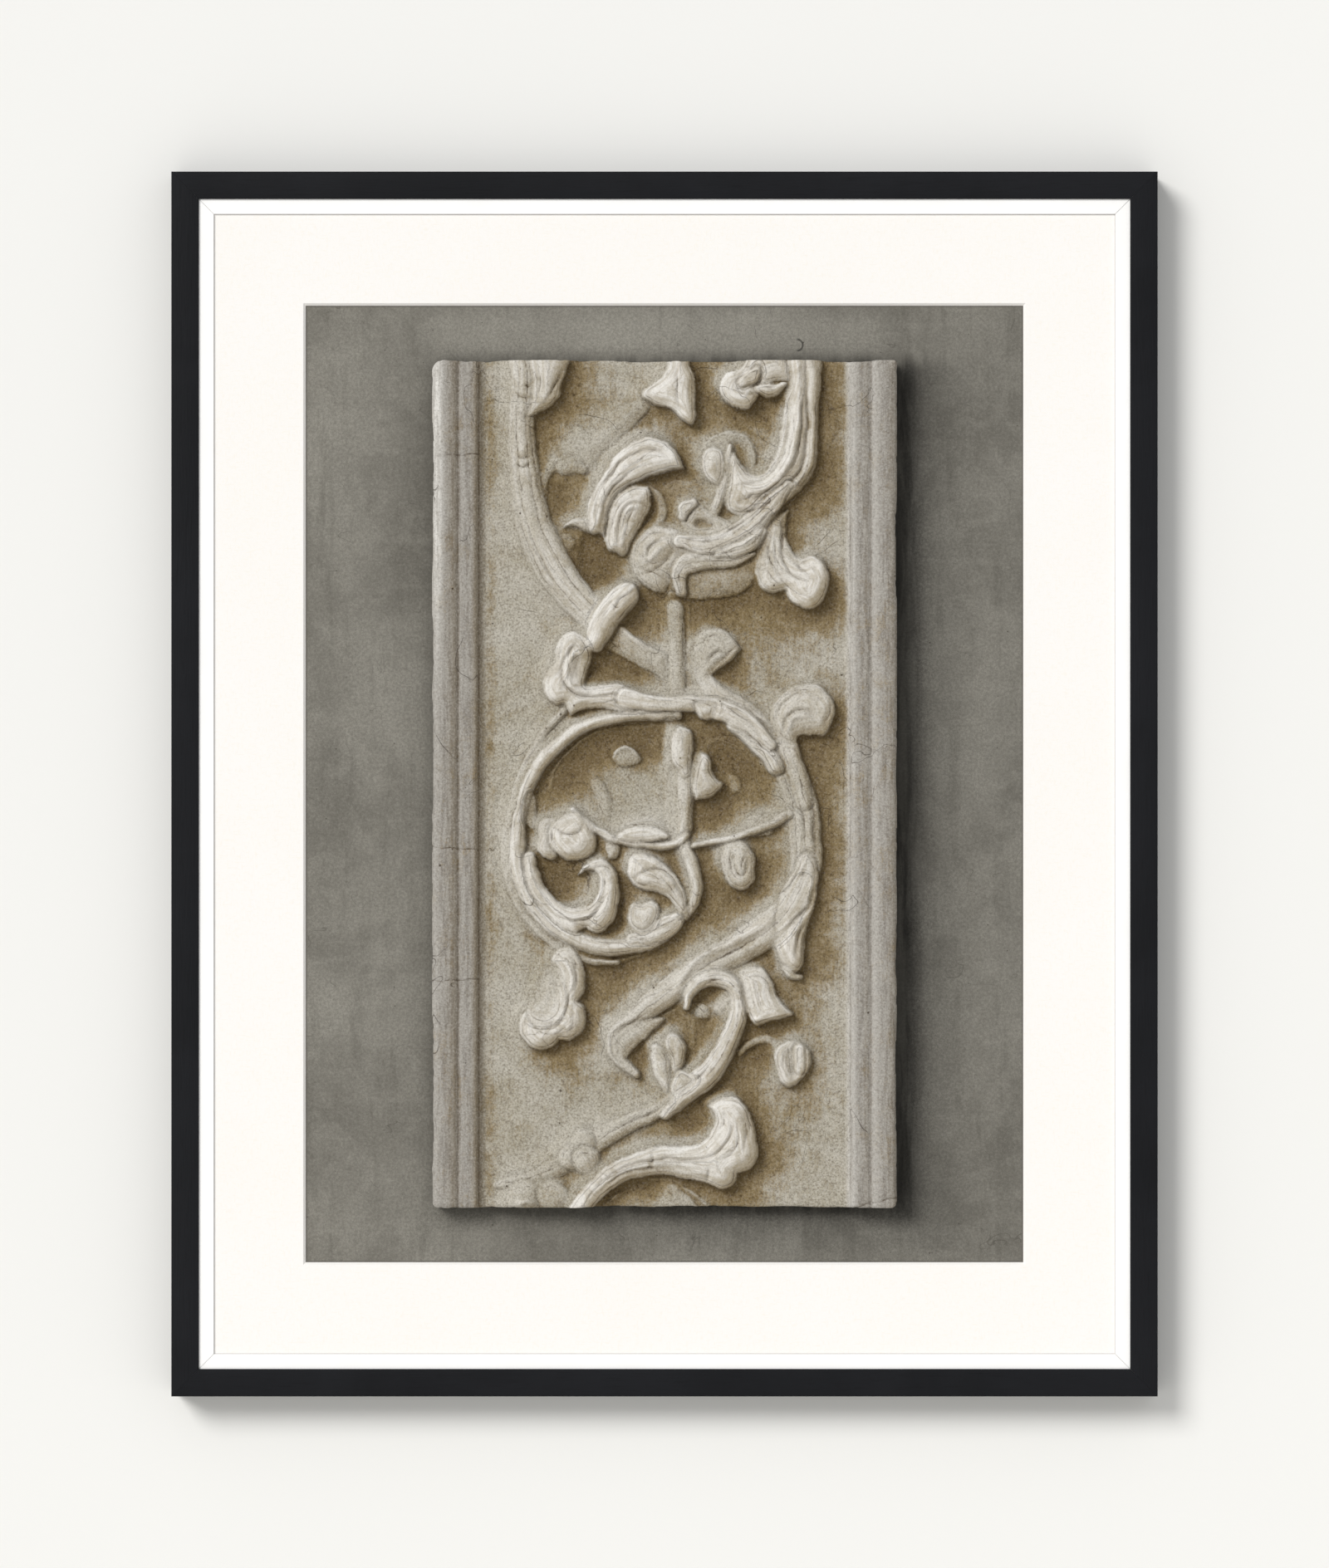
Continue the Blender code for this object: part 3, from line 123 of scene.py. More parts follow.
def plainSheet(name, corners, tone, seenFromBehind):
    sheet = bpy.data.meshes.new(name)
    sheet.from_pydata(corners, [], [(0, 1, 2, 3)])
    item = bpy.data.objects.new(name, sheet)
    bpy.context.collection.objects.link(item)
    finish = bpy.data.materials.new(name)
    finish.use_nodes = True
    tree = finish.node_tree
    shader = tree.nodes["Principled BSDF"]
    shader.inputs["Base Color"].default_value = screenColour(tone)
    shader.inputs["Roughness"].default_value = 0.95
    shader.inputs["Specular IOR Level"].default_value = 0.1
    if not seenFromBehind:
        clear = tree.nodes.new("ShaderNodeBsdfTransparent")
        side = tree.nodes.new("ShaderNodeNewGeometry")
        either = tree.nodes.new("ShaderNodeMixShader")
        tree.links.new(side.outputs["Backfacing"], either.inputs[0])
        tree.links.new(shader.outputs[0], either.inputs[1])
        tree.links.new(clear.outputs[0], either.inputs[2])
        tree.links.new(either.outputs[0], tree.nodes["Material Output"].inputs["Surface"])
    sheet.materials.append(finish)
    return item


def placeRoom():
    floorLevel = frameLow[2] - studio["floorDrop"]
    behind = frameHigh[1] + 0.001
    wall = plainSheet("wall", [(-4, behind, floorLevel), (4, behind, floorLevel), (4, behind, 2.5),
                               (-4, behind, 2.5)], studio["wallTone"], False)
    wall.visible_shadow = False        # so that the back of the frame is lit too
    wall.visible_diffuse = False
    plainSheet("floor", [(-6, -8, floorLevel), (6, -8, floorLevel), (6, 8, floorLevel),
                         (-6, 8, floorLevel)], studio["floorTone"], True)


bpy.context.scene.view_settings.view_transform = "Standard"
placeCamera()
placeLight()
placeRoom()
print("camera, light, wall and floor placed")


# Node helpers

def addNode(tree, kind, sockets=None, **settings):
    # Each entry of sockets is a plain value or the output to link
    made = tree.nodes.new("ShaderNode" + kind)
    for name, value in settings.items():
        setattr(made, name, value)
    for key, value in (sockets or {}).items():
        if isinstance(value, bpy.types.NodeSocket):
            tree.links.new(value, made.inputs[key])
        else:
            made.inputs[key].default_value = value
    return made


def maths(tree, operation, first, second=0.0, third=0.0):
    return addNode(tree, "Math", {0: first, 1: second, 2: third}, operation=operation).outputs[0]


def multiply(tree, first, second):
    return maths(tree, "MULTIPLY", first, second)


def scaled(tree, value, factor, added):
    return maths(tree, "MULTIPLY_ADD", value, factor, added)


def ranged(tree, value, low, high, start=0.0, end=1.0):
    # Start up to low, end past high, and an S curve between them
    sockets = {"Value": value, "From Min": low, "From Max": high, "To Min": start, "To Max": end}
    return addNode(tree, "MapRange", sockets, interpolation_type="SMOOTHSTEP").outputs["Result"]


def mixColour(tree, share, first, second):
    return addNode(tree, "Mix", {0: share, 6: first, 7: second}, data_type="RGBA").outputs[2]


def coat(tree, share, under, tone):
    # A share of a screen colour over what is under it
    return mixColour(tree, share, under, screenColour(tone))


def coats(tree, tone, tones, layers):
    # Coats in their order, each a share and the name of its tone
    for share, name in layers:
        tone = coat(tree, share, tone, tones[name])
    return tone


def noise(tree, vector, scale, detail, roughness=0.5, distortion=0.0):
    sockets = {"Vector": vector, "Scale": scale, "Detail": detail, "Roughness": roughness,
               "Distortion": distortion}
    return addNode(tree, "TexNoise", sockets).outputs["Fac"]


def place(tree):
    return addNode(tree, "TexCoord").outputs["Object"]


def stretched(tree, scale):
    return addNode(tree, "Mapping", {"Vector": place(tree), "Scale": scale}).outputs[0]


def useGroup(tree, group, sockets):
    return addNode(tree, "Group", sockets, node_tree=group).outputs


def newGroup(name, inputs, outputs):
    group = bpy.data.node_groups.new(name, "ShaderNodeTree")
    for label, kind, value in inputs:
        socket = group.interface.new_socket(label, in_out="INPUT", socket_type="NodeSocket" + kind)
        if value is not None:
            socket.default_value = value
    for label, kind in outputs:
        group.interface.new_socket(label, in_out="OUTPUT", socket_type="NodeSocket" + kind)
    return group, group.nodes.new("NodeGroupInput").outputs, group.nodes.new("NodeGroupOutput").inputs


# Shared effects, each built once

def makeGrainGroup():
    # Two noises, the finer one half as strong, around 0; Height drives bumps and Mask tints
    group, start, end = newGroup(
        "plaster and paper grain",
        [("Vector", "Vector", None), ("Size", "Float", 0.002), ("Roughness", "Float", 0.6)],
        [("Height", "Float"), ("Mask", "Float")])
    scale = maths(group, "DIVIDE", 1.0, start["Size"])
    coarse = noise(group, start["Vector"], scale, 3.0, start["Roughness"])
    fine = noise(group, start["Vector"], multiply(group, scale, 2.7), 2.0, start["Roughness"])
    height = scaled(group, fine, 0.5, maths(group, "SUBTRACT", coarse, 0.75))
    group.links.new(height, end["Height"])
    group.links.new(ranged(group, height, -0.22, 0.22), end["Mask"])
    return group


def makeBlotchGroup():
    # Large soft noise bent by a second noise, as uneven washes of colour dry
    group, start, end = newGroup(
        "uneven wash", [("Vector", "Vector", None), ("Size", "Float", 0.05), ("Contrast", "Float", 0.2)],
        [("Mask", "Float")])
    scale = maths(group, "DIVIDE", 1.0, start["Size"])
    cloud = noise(group, start["Vector"], scale, 5.0, 0.55, 0.8)
    low = maths(group, "SUBTRACT", 0.5, start["Contrast"])
    high = maths(group, "ADD", 0.5, start["Contrast"])
    group.links.new(ranged(group, cloud, low, high), end["Mask"])
    return group


def makePitGroup():
    # Voronoi cells keep a dark dot at their centre, and a noise leaves most of the cells empty
    group, start, end = newGroup(
        "pits and specks", [("Vector", "Vector", None), ("Spacing", "Float", 0.01), ("Share", "Float", 0.3),
                            ("Width", "Float", 0.1)], [("Mask", "Float")])
    scale = maths(group, "DIVIDE", 1.0, start["Spacing"])
    cells = addNode(group, "TexVoronoi", {"Vector": start["Vector"], "Scale": scale}, feature="F1")
    chance = addNode(group, "SeparateColor", {"Color": cells.outputs["Color"]}).outputs[0]
    kept = maths(group, "LESS_THAN", chance, start["Share"])
    size = multiply(group, start["Width"], maths(group, "DIVIDE", chance, start["Share"]))
    inside = ranged(group, cells.outputs["Distance"], multiply(group, size, 0.4), size)
    dot = maths(group, "SUBTRACT", 1.0, inside)
    group.links.new(multiply(group, kept, dot), end["Mask"])
    return group


def makeEdgeGroup():
    # Distance to the nearest side of an upright rectangle in XZ, positive outside:
    # length(max(|p - centre| - half, 0)) + min(max of both, 0)
    group, start, end = newGroup(
        "distance from a rectangle",
        [("Vector", "Vector", None), ("Centre X", "Float", 0.0), ("Centre Z", "Float", 0.0),
         ("Half Width", "Float", 0.1), ("Half Height", "Float", 0.1)], [("Distance", "Float")])
    parts = addNode(group, "SeparateXYZ", {"Vector": start["Vector"]}).outputs
    past = []
    for axis, centre, half in (("X", "Centre X", "Half Width"), ("Z", "Centre Z", "Half Height")):
        off = maths(group, "ABSOLUTE", maths(group, "SUBTRACT", parts[axis], start[centre]))
        past.append(maths(group, "SUBTRACT", off, start[half]))
    over = addNode(group, "CombineXYZ", {"X": maths(group, "MAXIMUM", past[0], 0.0),
                                         "Y": maths(group, "MAXIMUM", past[1], 0.0)}).outputs[0]
    outside = addNode(group, "VectorMath", {0: over}, operation="LENGTH").outputs["Value"]
    inside = maths(group, "MINIMUM", maths(group, "MAXIMUM", past[0], past[1]), 0.0)
    group.links.new(maths(group, "ADD", outside, inside), end["Distance"])
    return group


def makeHairGroup():
    # Level lines of a noise, |noise - 0.5| < Width, kept where a larger noise allows them
    group, start, end = newGroup(
        "hairlines", [("Vector", "Vector", None), ("Size", "Float", 0.03), ("Width", "Float", 0.006),
                      ("Share", "Float", 0.5)], [("Mask", "Float")])
    scale = maths(group, "DIVIDE", 1.0, start["Size"])
    lines = noise(group, start["Vector"], scale, 2.5, 0.45, 1.2)
    where = noise(group, start["Vector"], multiply(group, scale, 1.7), 1.0)
    away = maths(group, "ABSOLUTE", maths(group, "SUBTRACT", lines, 0.5))
    thin = ranged(group, away, multiply(group, start["Width"], 0.3), start["Width"])
    thin = maths(group, "SUBTRACT", 1.0, thin)
    kept = ranged(group, where, maths(group, "SUBTRACT", 0.62, multiply(group, start["Share"], 0.2)), 0.66)
    group.links.new(multiply(group, thin, kept), end["Mask"])
    return group


grain = makeGrainGroup()
wash = makeBlotchGroup()
pits = makePitGroup()
edge = makeEdgeGroup()
hairs = makeHairGroup()


def newMaterial(name, roughness, specular):
    finish = bpy.data.materials.new(name)
    finish.use_nodes = True
    tree = finish.node_tree
    shader = tree.nodes["Principled BSDF"]
    shader.inputs["Roughness"].default_value = roughness
    shader.inputs["Specular IOR Level"].default_value = specular
    return finish, tree, shader


def addBump(tree, shader, height, depth):
    bump = addNode(tree, "Bump", {"Height": height, "Distance": depth, "Strength": 1.0})
    tree.links.new(bump.outputs[0], shader.inputs["Normal"])


def dress(name, finish):
    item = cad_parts[name]
    item.data.materials.clear()
    item.data.materials.append(finish)


def showPiece(name, mesh, finish, slot, *nodes):
    item = bpy.data.objects.new(name, mesh)
    bpy.context.collection.objects.link(item)
    mesh.materials.append(finish)
    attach(item, "root")
    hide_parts(*nodes)
    return item


def meshFrom(name, points, quads):
    mesh = bpy.data.meshes.new(name)
    mesh.vertices.add(len(points))
    mesh.vertices.foreach_set("co", points.astype(np.float32).ravel())
    mesh.loops.add(quads.size)
    mesh.loops.foreach_set("vertex_index", quads.astype(np.int32).ravel())
    mesh.polygons.add(len(quads))
    mesh.polygons.foreach_set("loop_start", np.arange(0, quads.size, quads.shape[1], dtype=np.int32))
    mesh.update(calc_edges=True)
    mesh.validate()
    return mesh


def gridQuads(rows, columns):
    # Corner numbers of each square of a rows by columns grid
    corner = (np.arange(rows - 1)[:, None] * columns + np.arange(columns - 1)[None, :]).ravel()
    return np.stack([corner, corner + 1, corner + columns + 1, corner + columns], 1)


# Black rails, lengths in metres

rail = {
    "depth": float(-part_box("frame_rail_top")[0][1]),
    "face": 0.0175,
    "rebate": 0.005,
    "lip": 0.0015,
    "edgeRadius": 0.0009,
    "edgeSteps": 6,
    "mitreGap": 0.00004,
    "tone": (20, 21, 24),
    "paleTone": (30, 31, 35),
    "grainTone": (12, 12, 14),
}


def blackPaint(name, scale):
    # Thin satin paint: the wood's long grain shows as faint ridges, and the paint's tone drifts a little
    finish, tree, shader = newMaterial(name, 0.5, 0.12)
    ridges = noise(tree, stretched(tree, scale), 6.0, 6.0, 0.6)
    drift = useGroup(tree, wash, {"Vector": place(tree), "Size": 0.09, "Contrast": 0.22})["Mask"]
    dust = useGroup(tree, grain, {"Vector": place(tree), "Size": 0.0016, "Roughness": 0.6})
    tone = coats(tree, screenColour(rail["tone"]), rail, [
        (multiply(tree, drift, 0.5), "paleTone"),
        (ranged(tree, ridges, 0.5, 0.75, 0.0, 0.4), "grainTone")])
    tree.links.new(tone, shader.inputs["Base Color"])
    satin = scaled(tree, ridges, 0.16, 0.4)
    tree.links.new(scaled(tree, dust["Mask"], 0.1, satin), shader.inputs["Roughness"])
    addBump(tree, shader, scaled(tree, dust["Height"], 0.3, ridges), 0.00015)
    return finish


def railOutline():
    # Across a rail: inwards from its outer edge, and depth from the wall, round its two front corners
    front = -rail["depth"]
    radius = rail["edgeRadius"]
    turn = np.linspace(0, np.pi / 2, rail["edgeSteps"] + 1)
    low = radius - radius * np.cos(turn)
    rise = radius - radius * np.sin(turn)
    outer = np.stack([low, front + rise], 1)
    inner = np.stack([rail["face"] - rise, front + low], 1)
    body = rail["face"] - rail["rebate"]
    lipBack = front + rail["lip"]
    rest = np.array([[rail["face"], lipBack], [body, lipBack], [body, 0.0]])
    return np.vstack([[[0.0, 0.0]], outer, inner, rest])


def railPiece(side, outward, finish):
    # The outline is carried along one side and mitred: at the share t of its run, from -1 to 1, a point
    # u inwards from the outer edge lies t * (half run - u) along, and (half reach - u) out from the middle
    outline = railOutline()
    outward = np.array(outward, float)
    sideways = np.array([outward[1], -outward[0]])
    half = (frameHigh - frameLow)[[0, 2]] / 2
    reach = np.abs(half @ outward)
    run = np.abs(half @ sideways)
    share = np.linspace(-1, 1, 3)
    inwards = outline[:, 0]
    placed = (share[:, None, None] * (run - inwards - rail["mitreGap"])[None, :, None] * sideways
              + (reach - inwards)[None, :, None] * outward)
    depth = np.broadcast_to(outline[:, 1], placed.shape[:2])
    points = np.stack([middle[0] + placed[..., 0], depth, middle[2] + placed[..., 1]], -1)
    rings, around = points.shape[:2]
    here = np.arange(rings - 1)[:, None] * around
    corner = np.arange(around)[None, :]
    after = (corner + 1) % around
    quads = np.stack([here + corner, here + around + corner, here + around + after, here + after], -1)
    mesh = meshFrom("rail_" + side, points.reshape(-1, 3), quads.reshape(-1, 4))
    closeEnds(mesh)
    mesh.shade_smooth()
    mesh.set_sharp_from_angle(angle=math.radians(32))
    return showPiece("rail_" + side, mesh, finish, "black_frame", "frame_rail_" + side)


def closeEnds(mesh):
    # One face over each open rim, and all faces turned outwards
    work = bmesh.new()
    work.from_mesh(mesh)
    bmesh.ops.holes_fill(work, edges=[line for line in work.edges if line.is_boundary], sides=0)
    bmesh.ops.recalc_face_normals(work, faces=work.faces)
    work.to_mesh(mesh)
    work.free()


acrossPaint = blackPaint("black_paint_across", (9.0, 160.0, 160.0))
uprightPaint = blackPaint("black_paint_upright", (160.0, 160.0, 9.0))
railPiece("top", (0, 1), acrossPaint)
railPiece("bottom", (0, -1), acrossPaint)
railPiece("left", (-1, 0), uprightPaint)
railPiece("right", (1, 0), uprightPaint)
print("rails made")


# White strip, cream mat and grey board, lengths in metres

sheets = {
    "stripTone": (255, 255, 255),
    "stripShade": (246, 245, 243),
    "matTone": (248, 246, 244),
    "matFibre": (245, 240, 231),
    # grey and width of the painted shadow line where the strip lies on the mat
    "stripShadowTone": (196, 191, 188),
    "stripShadowWidth": 0.0006,
    "stripShowing": 0.0094,
    "windowWidth": 0.4572,
    "windowHeight": 0.6096,
    "boardTone": (129, 126, 118),
    "boardPale": (156, 153, 144),
    "boardDark": (98, 95, 88),
    "boardSpeck": (66, 62, 55),
    # painted shadow line where the mat's edge lies over the board
    "boardRimShadow": (96, 92, 86),
    "bareTone": (146, 127, 101),
    "barePale": (166, 148, 122),
    # Painted shadow of the slab on the board, in a charcoal tone, and the charcoal hook; the next three place
    # and size that painted shadow
    "charcoalAndShadow": (34, 33, 31),
    "shadowShift": (0.011, 0.0, -0.003),    # from the slab's middle to the middle of the charcoal
    "shadowReach": 0.048,       # how far the faint charcoal fades out
    "shadowEdge": 0.015,        # how far the strong charcoal fades out
    "hookAt": (0.0845, -0.0251, -0.1040),
    "hookRadius": 0.0036,
    "grainScale": 700.0,          # grains to a metre
}
panelLow, panelHigh = (np.array(corner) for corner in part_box("relief_panel"))
panelMiddle = (panelLow + panelHigh) / 2
panelHalf = (panelHigh - panelLow) / 2


def rectangleAround(tree, vector, centre, halfWidth, halfHeight):
    sockets = {"Vector": vector, "Centre X": float(centre[0]), "Centre Z": float(centre[2]),
               "Half Width": float(halfWidth), "Half Height": float(halfHeight)}
    return useGroup(tree, edge, sockets)["Distance"]


def whitePaint():
    finish, tree, shader = newMaterial("white_strip_paint", 0.6, 0.3)
    drift = useGroup(tree, wash, {"Vector": place(tree), "Size": 0.05, "Contrast": 0.25})["Mask"]
    dust = useGroup(tree, grain, {"Vector": place(tree), "Size": 0.0012, "Roughness": 0.6})
    tone = coat(tree, multiply(tree, drift, 0.4), screenColour(sheets["stripTone"]), sheets["stripShade"])
    tree.links.new(tone, shader.inputs["Base Color"])
    tree.links.new(ranged(tree, dust["Mask"], 0.0, 1.0, 0.5, 0.7), shader.inputs["Roughness"])
    addBump(tree, shader, dust["Height"], 0.00008)
    return finish


def creamPaper():
    # Cotton mat: short fibres both ways, and a soft grey line of painted shadow where the strip rests on it
    finish, tree, shader = newMaterial("cream_mat_paper", 0.92, 0.15)
    upright, level = (noise(tree, stretched(tree, scale), 1.0, 3.0, 0.55)
                      for scale in ((900.0, 900.0, 260.0), (260.0, 900.0, 900.0)))
    weave = maths(tree, "MAXIMUM", upright, level)
    cloud = useGroup(tree, wash, {"Vector": place(tree), "Size": 0.12, "Contrast": 0.3})["Mask"]
    fibre = ranged(tree, weave, 0.5, 0.78, 0.0, 0.55)
    half = (frameHigh - frameLow) / 2 - rail["face"] - sheets["stripShowing"]
    fromStrip = maths(tree, "ABSOLUTE", rectangleAround(tree, place(tree), middle, half[0], half[2]))
    # painted shadow line along the strip's inner edge
    line = ranged(tree, fromStrip, sheets["stripShadowWidth"] * 0.4, sheets["stripShadowWidth"], 0.75, 0.0)
    tone = coats(tree, screenColour(sheets["matTone"]), sheets, [
        (scaled(tree, cloud, 0.2, fibre), "matFibre"),
        (line, "stripShadowTone")])
    tree.links.new(tone, shader.inputs["Base Color"])
    addBump(tree, shader, weave, 0.00012)
    return finish


def charcoalAndShadowMasks(tree, here, x, z, upright, dustHeight):
    # Marks round the slab, their edge bent by the brush marks: a faint charcoal outline, a painted shadow of
    # the slab that starts at its top and fades out to the right and down, and a small charcoal hook at the
    # top right
    bend = scaled(tree, maths(tree, "SUBTRACT", upright, 0.5), 0.03, multiply(tree, dustHeight, 0.012))
    outline = rectangleAround(tree, here, panelMiddle, panelHalf[0], panelHalf[2])
    outlined = ranged(tree, maths(tree, "ADD", outline, bend), 0.001, 0.010, 0.26, 0.0)
    shadow = rectangleAround(tree, here, panelMiddle + np.array(sheets["shadowShift"]), panelHalf[0],
                             panelHalf[2])
    bentShadow = maths(tree, "ADD", shadow, bend)
    farShadow = multiply(tree, ranged(tree, bentShadow, -0.002, sheets["shadowReach"], 0.47, 0.0),
                         ranged(tree, x, -0.14, 0.08, 0.4, 1.0))
    rubbedAndPaintedLight = maths(tree, "ADD", ranged(tree, bentShadow, -0.004, sheets["shadowEdge"], 0.3, 0.0), farShadow)
    belowTop = maths(tree, "SUBTRACT", float(panelHigh[2]), z)
    rubbedAndPaintedLight = multiply(tree, rubbedAndPaintedLight, ranged(tree, maths(tree, "ADD", belowTop, bend), -0.008, 0.006))
    rubbedAndPaintedLight = multiply(tree, rubbedAndPaintedLight, ranged(tree, upright, 0.35, 0.65, 0.78, 1.2))
    hook = addNode(tree, "VectorMath", {0: here, 1: sheets["hookAt"]}, operation="DISTANCE").outputs["Value"]
    hook = maths(tree, "ABSOLUTE", maths(tree, "SUBTRACT", hook, sheets["hookRadius"]))
    hook = multiply(tree, ranged(tree, hook, 0.0003, 0.0009, 0.7, 0.0),
                    ranged(tree, x, sheets["hookAt"][0] - 0.001, sheets["hookAt"][0] + 0.001))
    return outlined, rubbedAndPaintedLight, hook


def greyWash():
    # Brushed grey wash over board: soft blotches, upright and level brush marks, dark specks and hairlines,
    # a painted shadow line at the mat's edge, a paler patch above the slab, darker towards the right, a faint
    # charcoal outline and hook, and the slab's painted shadow round its right side and foot. Its edges and
    # back are bare fibreboard.
    finish, tree, shader = newMaterial("grey_washed_board", 0.9, 0.2)
    here = place(tree)
    cloud = useGroup(tree, wash, {"Vector": here, "Size": 0.10, "Contrast": 0.24})["Mask"]
    small = useGroup(tree, wash, {"Vector": here, "Size": 0.016, "Contrast": 0.26})["Mask"]
    upright, level = (noise(tree, stretched(tree, scale), 1.0, 6.0, 0.65, 0.5)
                      for scale in ((95.0, 1.0, 11.0), (13.0, 1.0, 80.0)))
    dust = useGroup(tree, grain, {"Vector": here, "Size": 0.0018, "Roughness": 0.75})
    specks = useGroup(tree, pits, {"Vector": here, "Spacing": 0.0062, "Share": 0.3, "Width": 0.13})["Mask"]
    scratches = useGroup(tree, hairs, {"Vector": here, "Size": 0.04, "Width": 0.0042, "Share": 0.5})["Mask"]
    grains = noise(tree, here, sheets["grainScale"], 4.0, 0.8)
    x, y, z = (addNode(tree, "SeparateXYZ", {"Vector": here}).outputs[way] for way in "XYZ")
    above = rectangleAround(tree, here, panelMiddle + np.array([-0.004, 0.0, panelHalf[2] + 0.017]),
                            panelHalf[0] - 0.01, 0.008)
    fromMat = rectangleAround(tree, here, middle, sheets["windowWidth"] / 2, sheets["windowHeight"] / 2)
    outlined, rubbedAndPaintedLight, hook = charcoalAndShadowMasks(tree, here, x, z, upright, dust["Height"])

    tone = coats(tree, screenColour(sheets["boardDark"]), sheets, [
        (cloud, "boardPale"),
        (0.5, "boardTone"),
        (ranged(tree, upright, 0.48, 0.72, 0.0, 0.5), "boardDark"),
        (ranged(tree, level, 0.52, 0.76, 0.0, 0.35), "boardPale"),
        (ranged(tree, small, 0.3, 1.0, 0.0, 0.3), "boardPale"),
        (ranged(tree, above, -0.004, 0.014, 0.6, 0.0), "boardPale"),
        (ranged(tree, dust["Mask"], 0.2, 0.9, 0.4, 0.0), "boardDark"),
        (ranged(tree, grains, 0.5, 0.7, 0.0, 0.22), "boardSpeck"),
        (ranged(tree, grains, 0.32, 0.5, 0.3, 0.0), "boardPale"),
        # the board darker towards the right
        (ranged(tree, x, 0.05, 0.2, 0.0, 0.13), "charcoalAndShadow"),
        (multiply(tree, specks, 0.75), "boardSpeck"),
        (multiply(tree, scratches, 0.4), "boardSpeck"),
        # painted shadow line just inside the mat's window
        (ranged(tree, fromMat, -0.0016, -0.0004, 0.0, 0.6), "boardRimShadow"),
        (outlined, "boardDark"),
        # painted shadow of the slab, darkest beside it
        (rubbedAndPaintedLight, "charcoalAndShadow"),
        (hook, "charcoalAndShadow")])
    bare = coats(tree, screenColour(sheets["bareTone"]), sheets, [
        (ranged(tree, level, 0.3, 0.7), "barePale"),
        (ranged(tree, dust["Mask"], 0.2, 0.9, 0.35, 0.0), "boardDark")])
    boardFace = float(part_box("grey_mount_board")[0][1])
    tone = mixColour(tree, ranged(tree, y, boardFace + 0.0004, boardFace + 0.0008), tone, bare)
    tree.links.new(tone, shader.inputs["Base Color"])
    tree.links.new(ranged(tree, upright, 0.3, 0.7, 0.82, 0.95), shader.inputs["Roughness"])
    addBump(tree, shader, scaled(tree, dust["Height"], 0.5, multiply(tree, upright, 0.8)), 0.0003)
    return finish


stripFinish = whitePaint()
for side in ("top", "left", "bottom", "right"):
    dress("slip_strip_" + side, stripFinish)
dress("cream_mat", creamPaper())
dress("grey_mount_board", greyWash())
print("strip, mat and board dressed")


# Relief panel: the carving is worked as heights in millimetres over a fine grid, then made a mesh

relief = {
    "pitch": 0.85,                # mm between grid lines
    "triangles": 188000,          # left after the surface is thinned out
    "groundThickness": 11.5,      # mm from the panel's back to its ground
    "carvingRise": 12.5 / 11.0,   # real height of 1 mm as drawn
    "rollWidth": 16.5,            # mm, as are the next six
    "rollRise": 9.0,
    "bandWidth": 12.0,
    "bandRise": 6.7,
    "slopeWidth": 5.5,
    "grooveRise": 4.5,
    "wornEdge": 1.6,              # how far the outer edge is worn round
    "softening": 0.34,            # mm, blur over all of the carving
    "softUpperLeft": 3.0,         # mm, blur of the slope that laps each form's upper left side
    "lapUpperLeft": 2.6,          # mm, how far that slope reaches
    "rimWander": 0.7,             # mm, how far the broken rim wanders inwards
    "grit": 0.10,                 # mm, roughness left by the mould
    "unsteady": 0.5,              # mm, how far the carved edges wander
    "toolMarks": 0.17,            # mm, depth of the strokes along the forms
    "waves": 0.25,                # mm, unevenness of the ground
    "steepBlur": 0.9,             # mm, blur under which the slopes of edges are read
    "gentleBlur": 2.6,            # mm, blur under which the slopes of broad tops are read
    # Brown patina with painted shadow down and right of the forms, and painted shade in crevices: blur in mm,
    # reach down and right in mm, and the drop in mm that is fully brown or dark
    "brownShadowNear": (5.0, 4.0, 6.0),
    "brownShadowWide": (14.0, 11.0, 4.2),
    "creviceShade": (1.4, 1.0, 1.7),
    "brownStripAt": 37.0,         # mm from the left side, beside the moulding's foot
    # the strip below carries a painted highlight down the left roll's rounded edge
    "rollHighlightAt": 3.5,           # mm from the left side, near the roll's rounded edge
    "stripWidth": 4.0,            # mm, how wide these two strips fade out
    # Corners worn round: to the right, up, and radius in mm
    "wornCorners": [(-1, 1, 7.0), (1, -1, 4.0), (-1, -1, 3.0), (1, 1, 2.5)],
    # Cracks across a moulding: side, mm over the panel's middle, and slant
    "mouldingCracks": [(-1, -125.0, 0.04), (-1, -40.0, -0.06), (-1, 208.0, 0.05), (1, -262.0, 0.25)],
}


def smoothStep(value):
    held = np.clip(value, 0.0, 1.0)
    return held * held * (3 - 2 * held)


def curveThrough(points, closed):
    # Catmull-Rom: 0.5 * (2b + (c - a)t + (2a - 5b + 4c - d)t^2 + (3b - a - 3c + d)t^3), 14 steps a span
    p = np.asarray(points, float)
    p = np.vstack([p[-1], p, p[0], p[1]]) if closed else np.vstack([2 * p[0] - p[1], p, 2 * p[-1] - p[-2]])
    t = np.linspace(0, 1, 14, endpoint=False)[None, :, None]
    a, b, c, d = p[:-3, None], p[1:-2, None], p[2:-1, None], p[3:, None]
    bend = 2 * a - 5 * b + 4 * c - d
    twist = 3 * b - a - 3 * c + d
    line = (0.5 * (2 * b + (c - a) * t + bend * t ** 2 + twist * t ** 3)).reshape(-1, 2)
    return line if closed else np.vstack([line, p[-2]])


def evenlySpaced(line, gap):
    run = np.concatenate([[0.0], np.cumsum(np.hypot(*np.diff(line, axis=0).T))])
    marks = np.linspace(0, run[-1], max(8, int(run[-1] / gap)))
    return np.column_stack([np.interp(marks, run, line[:, 0]), np.interp(marks, run, line[:, 1])]), run[-1]


